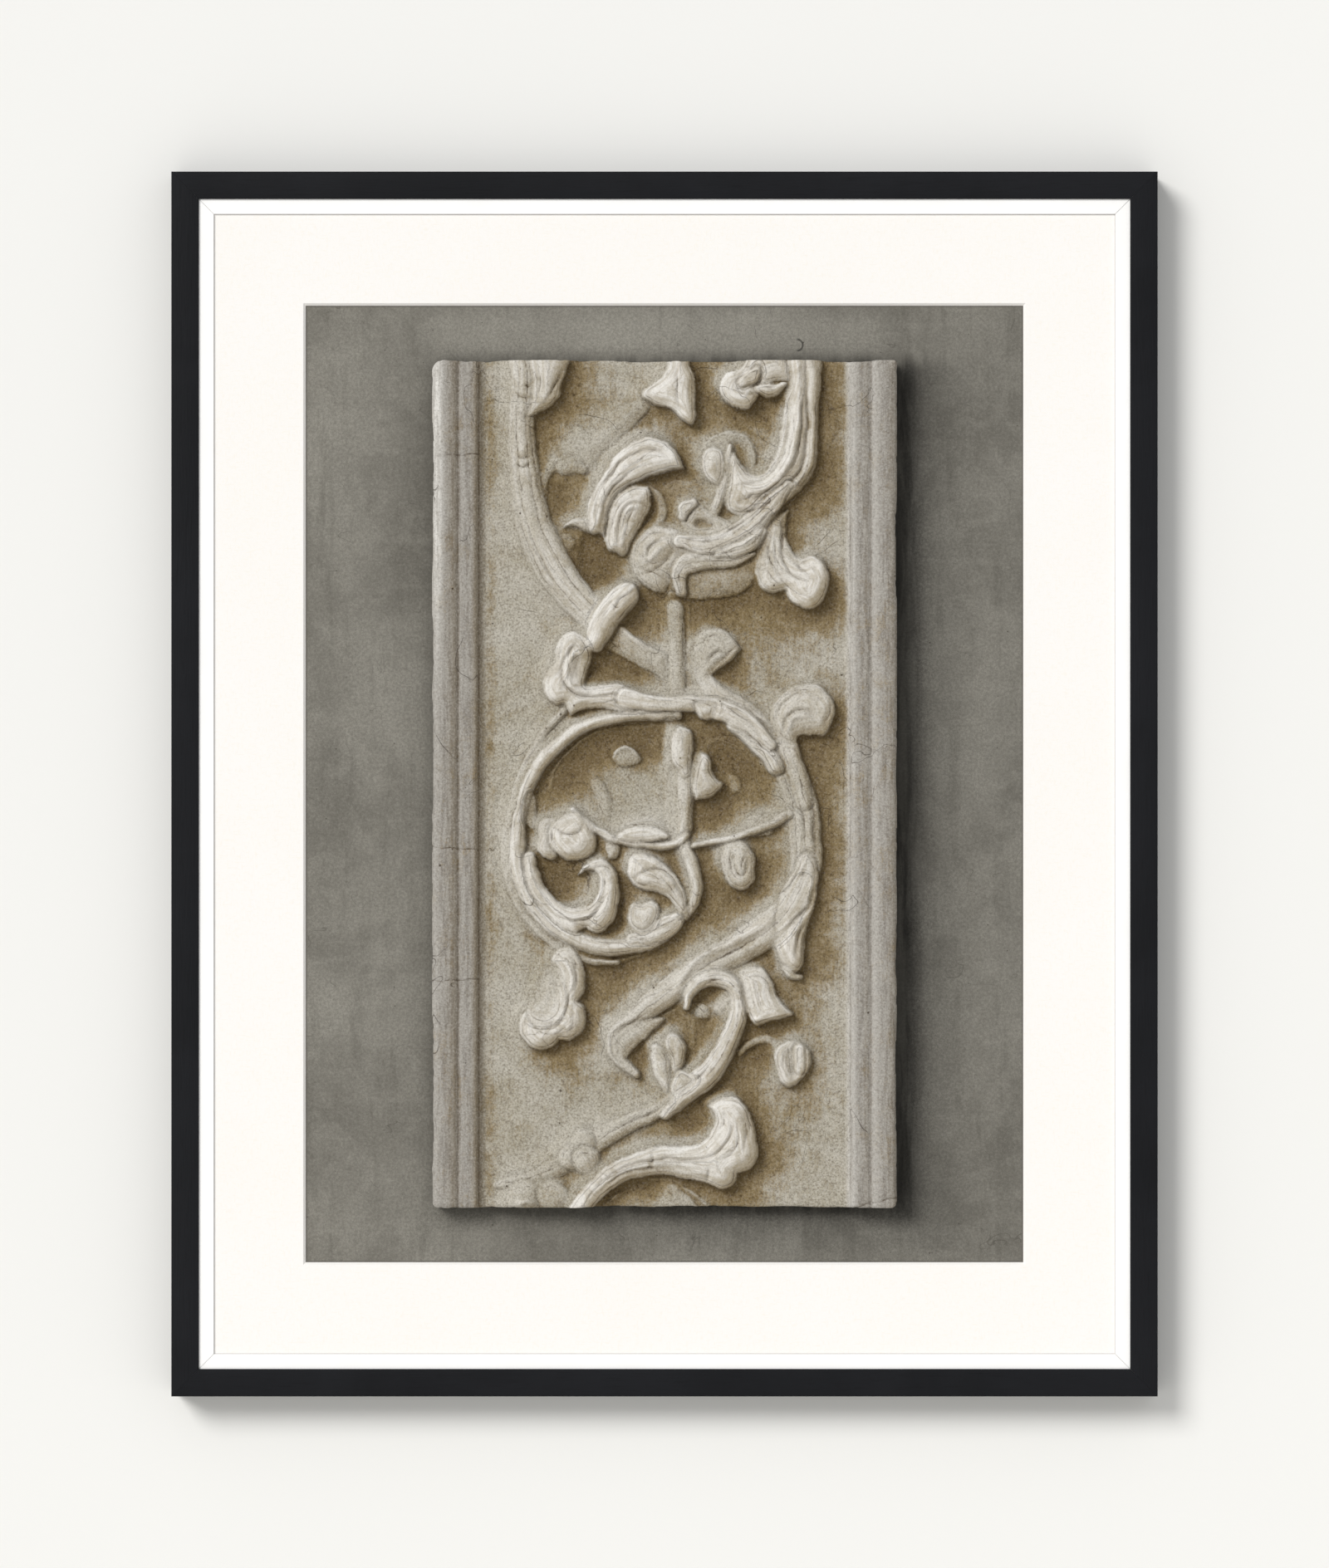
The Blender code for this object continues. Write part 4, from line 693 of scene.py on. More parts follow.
def along(values, share):
    # Values from the start to the end of a path, eased from each to the next
    values = np.atleast_1d(np.asarray(values, float))
    spot = share * (len(values) - 1)
    before = np.clip(spot.astype(int), 0, max(len(values) - 2, 0))
    after = np.minimum(before + 1, len(values) - 1)
    mix = smoothStep(spot - before)
    return values[before] * (1 - mix) + values[after] * mix


class Clay:
    # A form stands on a steep side of its level, and its crown is the rounded, reeded or hollowed top.
    # Height = level * side + crown * section, where side climbs from 0 to 1 within sideRun of the edge.
    # Each place also keeps how far across and along its form it lies, so that marks can follow the forms,
    # and how far it is from the nearest form's edge and from the nearest groove's line. Lengths in mm.
    far = 50.0
    pathGap = 1.3
    margin = 6.0
    sideRun = 1.15
    sidePower = 0.6
    carvedFrom = 1.5
    overlapCut = 1.5
    cutRoundDepth = 1.0
    cutRoundWidth = 0.8
    footShare = 0.8
    footRise = 0.9
    footWidth = 1.6
    footReach = 5.0
    grow = 0.75
    seamShare = 0.5
    formGap = 61.0

    def __init__(self, across, up, ground):
        self.across = across
        self.up = up
        self.height = ground
        self.acrossForm, self.alongForm = np.meshgrid(across, up)
        self.fromEdge = np.full(ground.shape, self.far)
        self.fromLine = np.full(ground.shape, self.far)
        self.formStart = 0.0

    def window(self, points, margin):
        left, right = np.searchsorted(self.across, [points[:, 0].min() - margin, points[:, 0].max() + margin])
        low, high = np.searchsorted(self.up, [points[:, 1].min() - margin, points[:, 1].max() + margin])
        x, z = np.meshgrid(self.across[left:right], self.up[low:high])
        return (slice(low, high), slice(left, right)), np.stack([x.ravel(), z.ravel()], 1), x.shape

    def lay(self, window, size, away, top, acrossForm, alongForm):
        # Where two forms cross, the later one stands on the earlier and has a narrow cut round it.
        old = self.height[window].ravel()
        beyond = np.clip(away, 0, None)
        over = np.maximum(top, old - self.overlapCut)
        cut = self.cutRoundDepth * np.exp(-beyond / self.cutRoundWidth)
        cutRound = old - cut * smoothStep((old - self.carvedFrom) / 2)
        foot = np.where(beyond < self.footReach, self.footRise * np.exp(-beyond / self.footWidth), 0)
        onGround = old + self.footShare * np.maximum(0, foot - np.maximum(old, 0))
        beside = np.where(old > self.carvedFrom, cutRound, onGround)
        self.height[window] = np.where(away < 0, over, beside).reshape(size)
        apart = np.abs(away).reshape(size)
        outside = (away >= 0).reshape(size)
        self.fromEdge[window] = np.where(outside, np.minimum(self.fromEdge[window], apart), apart)
        self.fromLine[window] = np.where(outside, self.fromLine[window], self.far)
        self.formStart += self.formGap
        within = (away < self.sideRun).reshape(size)
        for kept, fresh in ((self.acrossForm, acrossForm), (self.alongForm, alongForm + self.formStart)):
            kept[window] = np.where(within, fresh.reshape(size), kept[window])

    def nearPath(self, path, half):
        line, length = evenlySpaced(curveThrough(path, False), self.pathGap)
        window, points, size = self.window(line, np.max(half) + self.margin)
        near = ((points[:, None, :] - line[None]) ** 2).sum(2).argmin(1)
        last = len(line) - 1
        direction = np.gradient(line, axis=0)
        direction /= np.linalg.norm(direction, axis=1)[:, None] + 1e-9
        heading = direction[near]
        offset = points - line[near]
        ahead = (offset * heading).sum(1)
        pastEnd = np.where(near == 0, -ahead, np.where(near == last, ahead, 0)).clip(0)
        share = np.clip((near + np.clip(ahead * last / length, -0.5, 0.5)) / last, 0, 1)
        side = heading[:, 0] * offset[:, 1] - heading[:, 1] * offset[:, 0]
        return window, size, share, side, np.hypot(side, pastEnd), share * length

    def ribbon(self, path, half, level, crown, reeds, seam, section):
        window, size, share, side, off, run = self.nearPath(path, half)
        width = along(half, share) + self.grow
        across = np.clip(off / np.maximum(width, 0.001), 0, 1)
        body = section(across)
        turn = reeds * (across * np.sign(side) + 1) / 2
        if reeds > 1:
            furrow = 1 - np.abs(np.sin(math.pi * turn)) ** 0.6
            body = body * (1 - self.seamShare * seam * furrow)
        rise = smoothStep((width - off) / self.sideRun) ** self.sidePower
        top = along(level, share) * rise + along(crown, share) * body
        self.lay(window, size, off - width, top, side, run)
        between = (np.round(turn) % reeds != 0) & (off < width - 1)
        fromFurrow = np.where(between, np.abs(turn - np.round(turn)) * 2 * width / reeds, self.far)
        self.fromLine[window] = np.minimum(self.fromLine[window], fromFurrow.reshape(size))

    def stem(self, path, half, level, crown, reeds, seam=0.45):
        self.ribbon(path, half, level, crown, reeds, seam, lambda u: (1 - u ** 2.4) ** 0.6)

    def leaf(self, path, half, level, crown, reeds, cup=0.35):
        self.ribbon(path, half, level, crown, reeds, 0.5,
                    lambda u: (1 - cup + cup * u ** 2) * (1 - u ** 8) ** 0.5)

    def boss(self, x, z, radius, level, crown):
        self.ribbon([(x - 0.01, z), (x + 0.01, z)], [radius], level, crown, 1, 0.0,
                    lambda u: (1 - u ** 2.2) ** 0.6)

    def form(self, outline, level, crown, tilt=(0, 0), soft=4.0):
        # Closed outline: the crown's section is 1 - exp(-depth inside / soft), and tilt adds a slope
        line, length = evenlySpaced(curveThrough(outline, True), self.pathGap)
        window, points, size = self.window(line, self.margin)
        gaps = ((points[:, None, :] - line[None]) ** 2).sum(2)
        apart = np.sqrt(gaps.min(1))
        run = gaps.argmin(1) * length / len(line)
        after = np.roll(line, -1, 0)
        crosses = (line[None, :, 1] > points[:, None, 1]) != (after[None, :, 1] > points[:, None, 1])
        climb = np.where(after[:, 1] == line[:, 1], 1e-9, after[:, 1] - line[:, 1])
        meets = line[:, 0] + (points[:, None, 1] - line[:, 1]) * (after[:, 0] - line[:, 0]) / climb
        inside = (crosses & (points[:, None, 0] < meets)).sum(1) % 2 == 1
        inwards = np.where(inside, apart, -apart) + self.grow
        depth = np.clip(inwards, 0, None)
        rise = smoothStep(depth / self.sideRun) ** self.sidePower
        slope = (points - line.mean(0)) @ np.asarray(tilt, float)
        top = (level + slope) * rise + crown * (1 - np.exp(-depth / soft))
        self.lay(window, size, -inwards, top, depth, run)

    def groove(self, path, half, depth):
        window, size, share, side, off, run = self.nearPath(path, [half])
        fall = np.clip(1 - (off / half) ** 2, 0, 1) ** 1.2
        fadedEnds = np.sin(math.pi * np.clip(share, 0.04, 0.96)) ** 0.35
        self.height[window] -= (depth * fall * fadedEnds).reshape(size)
        if depth > 0:
            away = (off + 1.2 * (1 - fadedEnds)).reshape(size)
            self.fromLine[window] = np.minimum(self.fromLine[window], away)

    def rib(self, path, half, rise):
        self.groove(path, half, -rise)

    def hollow(self, path, half, depth):
        window, size, share, side, off, run = self.nearPath(path, half)
        fall = np.clip(1 - (off / along(half, share)) ** 2, 0, 1) ** 1.5
        self.height[window] -= (depth * fall).reshape(size)


# A point given twice is a sharp corner of an outline.

def lowForms(clay):
    # the ground sinks where it is shut in by the carving
    for path, half, depth in [
            ([(-47, 154), (-45, 141), (-37, 133), (-30, 129)], [8, 11, 12, 7], 3.6),
            ([(-64, 184), (-60, 176)], [9, 8], 1.4),
            ([(0, 188), (2, 175), (0, 166)], [9, 11, 6], 2.2),
            ([(52, 236), (66, 236)], [14, 12], 1.6),
            ([(26, 164), (30, 163)], [5], 1.5),
            ([(-42, 76), (-30, 70), (-14, 66)], [9, 8, 6], 2.4),
            ([(-14, 108), (-8, 100)], [11, 9], 1.6),
            ([(40, 70), (44, 76)], [8, 7], 1.4),
            ([(90, 24), (96, 18)], [10, 9], 1.4),
            ([(-56, 8), (-44, 18), (-10, 24)], [11, 13, 13], 2.2),
            ([(-74, -62), (-66, -70), (-60, -62)], [12, 11, 12], 2.6),
            ([(-25, -60), (-25, -90)], [6, 8], 2.0),
            ([(38, 14), (46, 6)], [9, 9], 1.8),
            ([(34, -14), (44, -12)], [9, 8], 1.5),
            ([(62, -52), (58, -72), (44, -74)], [9, 9, 8], 1.8),
            ([(8, -54), (12, -60)], [5], 1.5),
            ([(-36, -122), (-20, -118)], [10, 9], 2.2),
            ([(-13, -158), (-14, -172), (-13, -182)], [6, 8, 7], 2.6),
            ([(22, -140), (31, -138), (39, -131)], [6, 7, 5], 2.8),
            ([(26, -154), (24, -170)], [8, 7], 1.6),
            ([(56, -172), (66, -178)], [8, 7], 2.0),
            ([(-22, -258), (0, -260)], [9, 9], 1.8),
            ([(20, -214), (10, -222)], [10, 8], 1.4)]:
        clay.hollow(path, half, depth)
    # slopes of the ground that rise to meet the carving
    clay.form([(-70, 204), (-62, 219), (-54, 226), (-45, 222), (-36, 232), (-26, 240), (-13, 245),
               (-10, 238), (-20, 227), (-30, 218), (-42, 208), (-45, 201), (-55, 197), (-65, 197)], 1.2,
              1.6, (0, 0.02))
    clay.form([(-34, 0), (-26, 6), (-16, 2), (-6, -4), (2, -14), (4, -30), (-20, -34), (-37, -30),
               (-33, -14)], 1.2, 1.0, (0, -0.07), 8)
    clay.form([(42, 55), (60, 56), (72, 60), (78, 40), (70, 26), (56, 36)], 0.8, 1.2)
    clay.form([(20, -100), (44, -92), (66, -84), (72, -96), (48, -108), (24, -116)], 0.8, 1.0)
    clay.stem([(-77, 172), (-78, 190), (-71, 203), (-60, 207)], [2.6, 3, 3.5, 2], 1.0, 1.6, 1)
    clay.form([(-70, 202), (-64, 206), (-56, 206), (-50, 202), (-50, 198), (-58, 197), (-66, 197)], 2.0,
              1.4)
    clay.form([(-64, 162), (-58, 168), (-50, 169), (-44, 165), (-43, 159), (-43, 159), (-51, 161),
               (-58, 164)], 4, 1.5)
    clay.form([(-68, 150), (-63, 158), (-57, 155), (-60, 149)], 1.0, 1.2)
    clay.form([(20, 204), (22, 213), (29, 220), (38, 224), (48, 222.5), (55, 216), (58, 207), (54, 197),
               (44, 190), (32, 188), (24, 195)], 1.6, 1.2, (0, 0), 4)
    clay.hollow([(47, 213), (49, 203)], [8, 7], 2.2)
    clay.rib([(22, 203), (24, 213), (31, 221), (41, 223.5), (51, 221), (57, 213), (58, 204)], 1.4, 1.0)
    clay.form([(100, 243), (108, 233), (107, 222), (104, 213), (98, 214), (97, 232)], 0.5, 0.6)


def leftVine(clay):
    clay.stem([(-101, 274), (-101, 240), (-100, 200)], [3.2, 3.2, 2], 0.5, 0.8, 1)
    clay.stem([(-90, 274), (-90, 240), (-90, 208), (-87, 182), (-80, 158), (-70, 137), (-57, 119),
               (-44, 106)], [7.5, 7.5, 8, 9.5, 11, 12, 11.5, 10], [2.6, 2.6, 2.2, 2.4, 2.6], 3.4, 3)
    clay.groove([(-89, 253), (-87, 251.5), (-84, 251.5)], 0.9, 1.2)
    clay.groove([(-93, 246), (-89, 244.5), (-86, 245)], 0.9, 1.2)
    clay.groove([(-94, 209), (-90, 207), (-85, 209)], 1.0, 1.4)
    clay.groove([(-94, 203), (-90, 201), (-85, 204)], 1.0, 1.4)
    clay.groove([(-98, 200), (-93, 172), (-85, 148), (-76, 130), (-62, 114), (-50, 103)], 1.5, 1.2)


def topFragments(clay):
    clay.form([(-83, 276), (-83, 255), (-84, 241), (-87, 233), (-87, 233), (-78, 237), (-70, 242),
               (-66, 248), (-65, 256), (-62, 265), (-60, 276)], 5.5, 2.2, (-0.03, 0))
    clay.groove([(-65, 263), (-69, 254), (-75, 245)], 1.3, 1.6)
    clay.groove([(-79, 266), (-79, 252), (-82, 243)], 1.0, 0.9)
    clay.form([(3, 276), (3, 266), (-2, 258), (-9, 253), (-13, 249), (-13, 245), (-6, 241), (2, 239),
               (7, 236), (11, 232), (17, 228), (17, 228), (20, 234), (19, 247), (20, 258), (17, 266),
               (17, 276)], 6.5, 2.4, (0.02, 0))
    clay.groove([(8, 268), (8, 254), (9, 242), (13, 232)], 1.2, 0.9)
    clay.form([(80, 278), (56, 276), (48, 264), (39, 260), (35, 252), (37, 245), (43, 240), (52, 238),
               (58, 243), (61, 249), (70, 256), (80, 257)], 5.8, 2.0, (-0.03, -0.03))
    clay.groove([(62, 268), (62, 258), (57, 252), (50, 251), (47, 255), (50, 259)], 1.1, 1.6)
    clay.groove([(44, 253), (50, 247), (58, 247)], 1.1, 1.4)
    clay.leaf([(50, 255), (55, 258), (59, 262)], [3, 4.5, 2.5], 7.4, 1.8, 1)
    clay.form([(57, 252), (60, 247), (67, 245), (74, 249), (78, 255), (78, 255), (68, 254)], 6.6, 2.4)


def rightArc(clay):
    clay.form([(98, 278), (98, 245), (98, 218), (96, 202), (90, 190), (82, 182), (74, 175), (62, 171),
               (50, 170), (42, 172), (38, 179), (41, 190), (40, 205), (44, 211), (49, 203), (54, 197),
               (62, 197), (68, 204), (73, 215), (75, 230), (77, 245), (80, 256), (80, 278)], 4.6, 3.6,
              (-0.012, 0.0), 5)
    clay.groove([(90, 276), (90, 250), (91, 230), (90, 212), (86, 199), (77, 188), (66, 182), (54, 182)],
                1.5, 2.0)
    clay.rib([(84, 276), (84, 250), (84, 230), (82, 213), (76, 200), (66, 190), (55, 186)], 3.0, 1.8)
    clay.groove([(78, 244), (79, 232), (78, 216), (72, 203), (64, 194), (54, 190), (47, 189)], 1.3, 2.0)
    clay.rib([(95, 262), (95, 235), (95, 215), (92, 202), (84, 190), (74, 181), (62, 176), (50, 175)], 2.6,
             1.4)
    clay.groove([(72, 190), (64, 185), (58, 181)], 1.0, 1.3)
    clay.groove([(80, 208), (82, 225), (82, 240)], 0.9, 0.9)


def upperNest(clay):
    clay.form([(-21, 150), (-21, 138), (-16, 128), (-6, 121.5), (12, 118.5), (32, 119), (48, 122),
               (57, 131), (60, 143), (60, 156), (44, 163), (18, 166), (-6, 163), (-18, 158)], 2.6, 2.2,
              (0, 0), 9)
    clay.form([(0, 190), (10, 193), (22, 190), (34, 184), (38, 172), (34, 160), (20, 157), (6, 160),
               (-3, 168), (-2, 180)], 1.2, 1.0, (0, 0.03), 7)
    clay.stem([(-9, 188), (-4, 183), (-1, 176), (-2, 169), (-6, 164)], [1.6, 2.6, 3, 2.8, 1.6], 2.4, 1.2, 1)
    clay.stem([(42, 214), (38, 200), (36, 186), (32, 174), (25, 165), (17, 160)], [1.6, 2.2, 2.8, 3, 4, 4],
              3.8, 2.2, 1)
    clay.form([(24, 206), (24.5, 198), (28, 192), (33, 189), (36.5, 194), (38, 203), (36, 211), (31, 213),
               (26, 211)], 5.0, 2.2)
    clay.form([(10, 167), (10, 174), (14, 179), (20, 179.5), (25, 176), (31, 172), (37, 168), (43, 163),
               (38, 158), (28, 157), (19, 158), (13, 162)], 3.8, 2.0, (-0.02, 0.03), 4)
    clay.hollow([(22, 164.5), (29, 163)], [4.5, 3.5], 2.8)
    clay.leaf([(11.5, 170), (14, 176), (19, 179)], [2.5, 4, 2.5], 5.2, 2.0, 1)
    clay.groove([(13, 163), (15, 170), (19, 174), (24, 174)], 0.9, 1.3)
    clay.form([(-20.5, 140), (-20, 150), (-15, 158), (-8, 163.5), (0, 163.5), (8, 161), (14, 156),
               (12, 149), (8.5, 143), (6, 135), (3, 127), (0, 121.5), (-8, 122.5), (-16, 129)], 4.6, 2.6,
              (0, 0.03), 6)
    clay.groove([(-10, 145), (-9, 151), (-5, 154.5), (-1.5, 155)], 0.9, 1.8)
    clay.groove([(-17, 133), (-8, 135), (0, 141), (6, 149)], 1.3, 1.2)
    clay.groove([(-18, 145), (-14, 154), (-6, 159.5), (5, 158)], 1.2, 1.1)
    clay.rib([(-15, 139), (-8, 144), (-3, 150), (3, 153)], 1.6, 0.9)
    clay.leaf([(11, 122), (9, 132), (13, 139), (22, 141), (33, 141.5), (45, 142), (57, 146)],
              [3, 4.5, 6, 5.5, 4.5, 3, 1], 5.2, 2.6, 2)
    clay.groove([(13, 136), (17, 138), (20, 136)], 0.8, 1.6)
    clay.leaf([(10, 154), (22, 151.5), (34, 152.5), (46, 157.5), (60, 168), (79, 189)],
              [4, 5.5, 6, 6.5, 6, 2.5], 5.6, 3.0, 3)
    clay.groove([(15, 161), (24, 156.5), (35, 157.5), (46, 163), (57, 172)], 0.9, 1.6)
    clay.leaf([(34, 145.5), (44, 148), (54, 152), (63, 161)], [1.6, 3.8, 4.2, 2], 6.6, 2.4, 2)
    clay.form([(-47, 160), (-49, 171), (-46, 184), (-40, 196), (-32, 207), (-22, 216), (-11, 220),
               (-1, 217.5), (6, 212), (10, 206), (12, 200), (12, 200), (3, 199), (-7, 196.5), (-17, 192),
               (-26, 187), (-33, 179), (-37.5, 168), (-38, 156), (-38, 156), (-42, 160)], 6.6, 3.0,
              (0.0, 0.02), 4)
    clay.groove([(-44, 170), (-41, 186), (-32, 200), (-20, 209), (-8, 212), (3, 207)], 1.2, 1.6)
    clay.groove([(-41, 164), (-38, 179), (-31, 190), (-20, 198.5), (-10, 203)], 1.1, 1.4)
    clay.groove([(-38, 190), (-30, 202), (-22, 206)], 0.9, 1.0)
    clay.rib([(-30, 209), (-18, 215), (-6, 215)], 1.4, 0.8)
    clay.form([(-36.5, 150), (-36.5, 164), (-34, 176), (-28, 184.5), (-19, 188.5), (-10, 188.5), (-8, 184),
               (-8, 184), (-9, 176), (-13, 167), (-18, 160), (-22, 152), (-25, 145.5), (-31, 147)], 5.6,
              2.6, (0, 0.02), 4)
    clay.groove([(-10, 175), (-15, 178.5), (-22, 177.5), (-28, 169), (-30, 152)], 1.3, 1.8)
    clay.groove([(-13, 175), (-19, 173.5), (-24, 165), (-26, 151)], 0.9, 1.1)
    clay.groove([(-33, 173), (-34, 162), (-34, 152)], 0.9, 1.0)
    clay.rib([(-25, 172), (-20, 176), (-14, 174)], 1.1, 0.8)


def hangingRightLeaf(clay):
    clay.form([(66, 167), (60, 152), (58, 143), (58, 134), (60, 126), (65, 122), (71, 121), (77, 123),
               (77, 123), (79, 118), (85, 113), (92, 111), (99, 115), (103, 122), (105, 130), (103, 137),
               (99, 142), (93, 145), (87, 143), (81, 147), (77, 156), (78, 168), (79, 174)], 4.6, 3.2,
              (0.05, -0.06), 5)
    clay.groove([(76, 168), (74, 152), (75, 141), (81, 133), (89, 128)], 1.3, 1.8)
    clay.groove([(68, 160), (66, 148), (69, 137), (78, 128)], 1.2, 1.4)
    clay.groove([(84, 143), (88, 136), (95, 131)], 1.1, 1.4)
    clay.groove([(71, 162), (70, 148), (72, 138), (80, 130)], 0.9, 1.0)
    clay.hollow([(90, 141), (96, 137)], [4, 3], 1.2)


def crossingBranches(clay):
    clay.form([(-31, 101), (-20, 94), (-8, 86), (4, 79), (4, 64), (-6, 70), (-20, 77), (-33, 85),
               (-41, 90)], 2.4, 1.8, (0.02, 0.05))
    clay.rib([(-27, 98), (-14, 89), (0, 81)], 2.8, 1.8)
    clay.stem([(7.5, 112), (7.5, 90), (8, 62)], [4.8, 4.8, 4.8], 2.2, 1.4, 1)
    clay.rib([(15.5, 116), (15.5, 90), (15, 64), (20, 55)], 1.3, 1.4)
    clay.stem([(-44, 89), (-39, 102), (-32, 112), (-25, 119)], [6, 8.5, 9.5, 8.5], 6.0, 4.2, 1)
    clay.groove([(-41, 110), (-34, 117), (-31, 125)], 1.0, 1.2)
    clay.groove([(-32, 110), (-28, 117), (-20, 122)], 1.1, 1.8)
    clay.groove([(-46, 98), (-42, 107), (-36, 112)], 1.0, 1.2)


def curledLeafByPost(clay):
    clay.stem([(70, 28), (54, 42), (38, 53), (28, 62), (23, 72)], [5.5, 7.5, 7.5, 6, 4.5], 3.2, 2.6, 1)
    clay.form([(22, 66), (20, 76), (19, 87), (21, 94), (26, 98), (33, 99), (40, 96), (45, 91), (48, 86),
               (48, 86), (43, 80), (37, 75), (30, 69), (26, 65)], 3.4, 1.8, (0.03, 0))
    clay.rib([(46, 85), (40, 79), (32, 71)], 1.8, 1.4)
    clay.groove([(28, 75), (29, 80), (34, 84), (38, 83)], 1.4, 1.8)
    clay.rib([(27, 72), (30, 79), (36, 82)], 1.3, 1.2)


def medallionRings(clay):
    clay.stem([(-69, 50), (-81, 37), (-93, 18), (-101, -4), (-105, -28), (-104, -52)], [2.2], 0.5, 0.9, 1)
    clay.stem([(-63, 47), (-74, 35.5), (-85, 18), (-94, -1), (-99.5, -22), (-101, -45), (-98.5, -62),
               (-91, -79), (-80, -93), (-64, -105), (-48, -112), (-30, -114)],
              [2.2, 2.4, 2.4, 2.4, 2.4, 2.3, 2.3, 2.3, 2.3, 2.2, 2, 1.5], 2.4, 1.3, 1)
    clay.rib([(-73, -3), (-68, 12), (-58, 23), (-46, 32), (-32, 36), (-20, 37)], 1.3, 2.0)
    clay.stem([(8, 43.5), (-12, 43.5), (-34, 41.5), (-52, 36), (-68, 24.5), (-81, 9), (-89.5, -10),
               (-93.5, -32), (-92.5, -54), (-86, -72), (-75, -86), (-60, -97), (-44, -103), (-28, -104),
               (-12, -101), (2, -94), (12, -85)],
              [3, 3, 3.2, 3.5, 3.8, 4, 4, 4.2, 4.8, 5.4, 5.4, 5.4, 5.2, 5, 5, 4.5, 2], 4.2, 2.8, 1)
    clay.groove([(-62, 41), (-76, 27.5), (-87, 10), (-95, -12), (-97.8, -34), (-97.5, -54), (-92, -72),
                 (-81, -88), (-66, -100)], 0.9, 1.0)
    clay.rib([(-46, -111), (-30, -113), (-14, -109), (-3, -102)], 1.6, 2.0)
    clay.leaf([(-20, -98), (-8, -95), (4, -90), (12, -83)], [3, 5.5, 6, 3], 5.0, 2.2, 3)
    clay.stem([(46, 41), (60, 32), (73, 16), (83, -1), (88, -20), (90, -40), (89, -58), (84, -74)],
              [4, 6.5, 8.5, 9.5, 10, 10, 10, 8], 3.2, 2.6, 4)
    clay.stem([(42, 37), (56, 27), (66, 18), (70, 11)], [3, 4, 5, 5.5], 5.4, 2.6, 1)


def medallionRightLeaf(clay):
    clay.stem([(89, -12), (84, 6), (80, 18), (77, 32)], [5, 6, 6, 6], 4.2, 2.6, 2)
    clay.form([(82, 25), (75, 27), (70, 34), (67, 43), (69, 51), (75, 57), (82, 61), (91, 63), (99, 62),
               (104, 57), (108, 49), (107, 41), (103, 34), (100, 31), (100, 31), (92, 31), (85, 30)], 4.6,
              2.4, (0.03, -0.02), 5)
    clay.groove([(75, 33), (78, 42), (84, 46), (90, 46), (95, 43)], 1.5, 1.9)
    clay.rib([(78, 33), (82, 41), (88, 43), (93, 40)], 1.5, 1.3)
    clay.groove([(70, 36), (72, 46), (80, 54), (92, 57), (100, 52)], 1.5, 1.2)


def garland(clay):
    clay.form([(-48, 88), (-52, 93), (-59, 96), (-65, 93), (-69, 86), (-70, 77), (-75, 71), (-75, 71),
               (-77, 64), (-75, 55), (-69, 50), (-63, 51), (-59, 44), (-59, 44), (-50, 48), (-38, 49),
               (-28, 46), (-17, 47), (-16, 56), (-23, 61), (-32, 64), (-44, 63), (-51, 62), (-49, 72),
               (-46, 80)], 5.6, 2.8, (0, -0.015), 5)
    clay.groove([(-50, 86), (-58, 85), (-63, 79), (-65, 70), (-62, 61), (-55, 56), (-44, 56), (-32, 57),
                 (-26, 54), (-21, 49)], 1.5, 2.0)
    clay.rib([(-48, 82), (-57, 82), (-61, 76), (-62, 68), (-58, 60), (-50, 58)], 1.5, 1.2)
    clay.hollow([(-55, 78), (-56, 68)], [3.5], 1.2)
    clay.leaf([(-24, 54), (-10, 51.5), (6, 51), (20, 50), (34, 47), (48, 41), (60, 32), (68, 25)],
              [6, 4.6, 4.2, 4.8, 6.4, 6.6, 5, 3], 5.8, 2.8, 1)
    clay.form([(20, 51), (21, 44), (25, 41), (30, 43), (31, 51)], 5.8, 2.4)
    clay.groove([(31, 55), (42, 47), (52, 40), (60, 31)], 1.1, 1.5)


def sheathLeaf(clay):
    clay.form([(92, -44), (86, -47), (82, -56), (76, -65), (71, -76), (68, -90), (69, -102), (73, -112),
               (78, -119), (83, -120), (87, -116), (88, -104), (90, -92), (94, -80), (97, -68), (97, -54)],
              5.4, 2.8, (0, -0.01), 5)
    clay.groove([(90, -52), (87, -62), (80, -74), (74, -86), (71, -100)], 1.6, 2.2)
    clay.groove([(86, -50), (81, -62), (76, -68)], 1.2, 1.6)
    clay.groove([(95, -68), (91, -78), (83, -86), (76, -94), (73, -104)], 1.7, 2.4)
    clay.groove([(90, -88), (84, -97), (82, -110)], 1.2, 1.6)
    clay.groove([(93, -84), (88, -98), (87, -112)], 1.1, 1.4)
    clay.stem([(76, -118), (81, -122), (86, -123)], [1.5, 2.2, 1.2], 3.0, 1.6, 1)


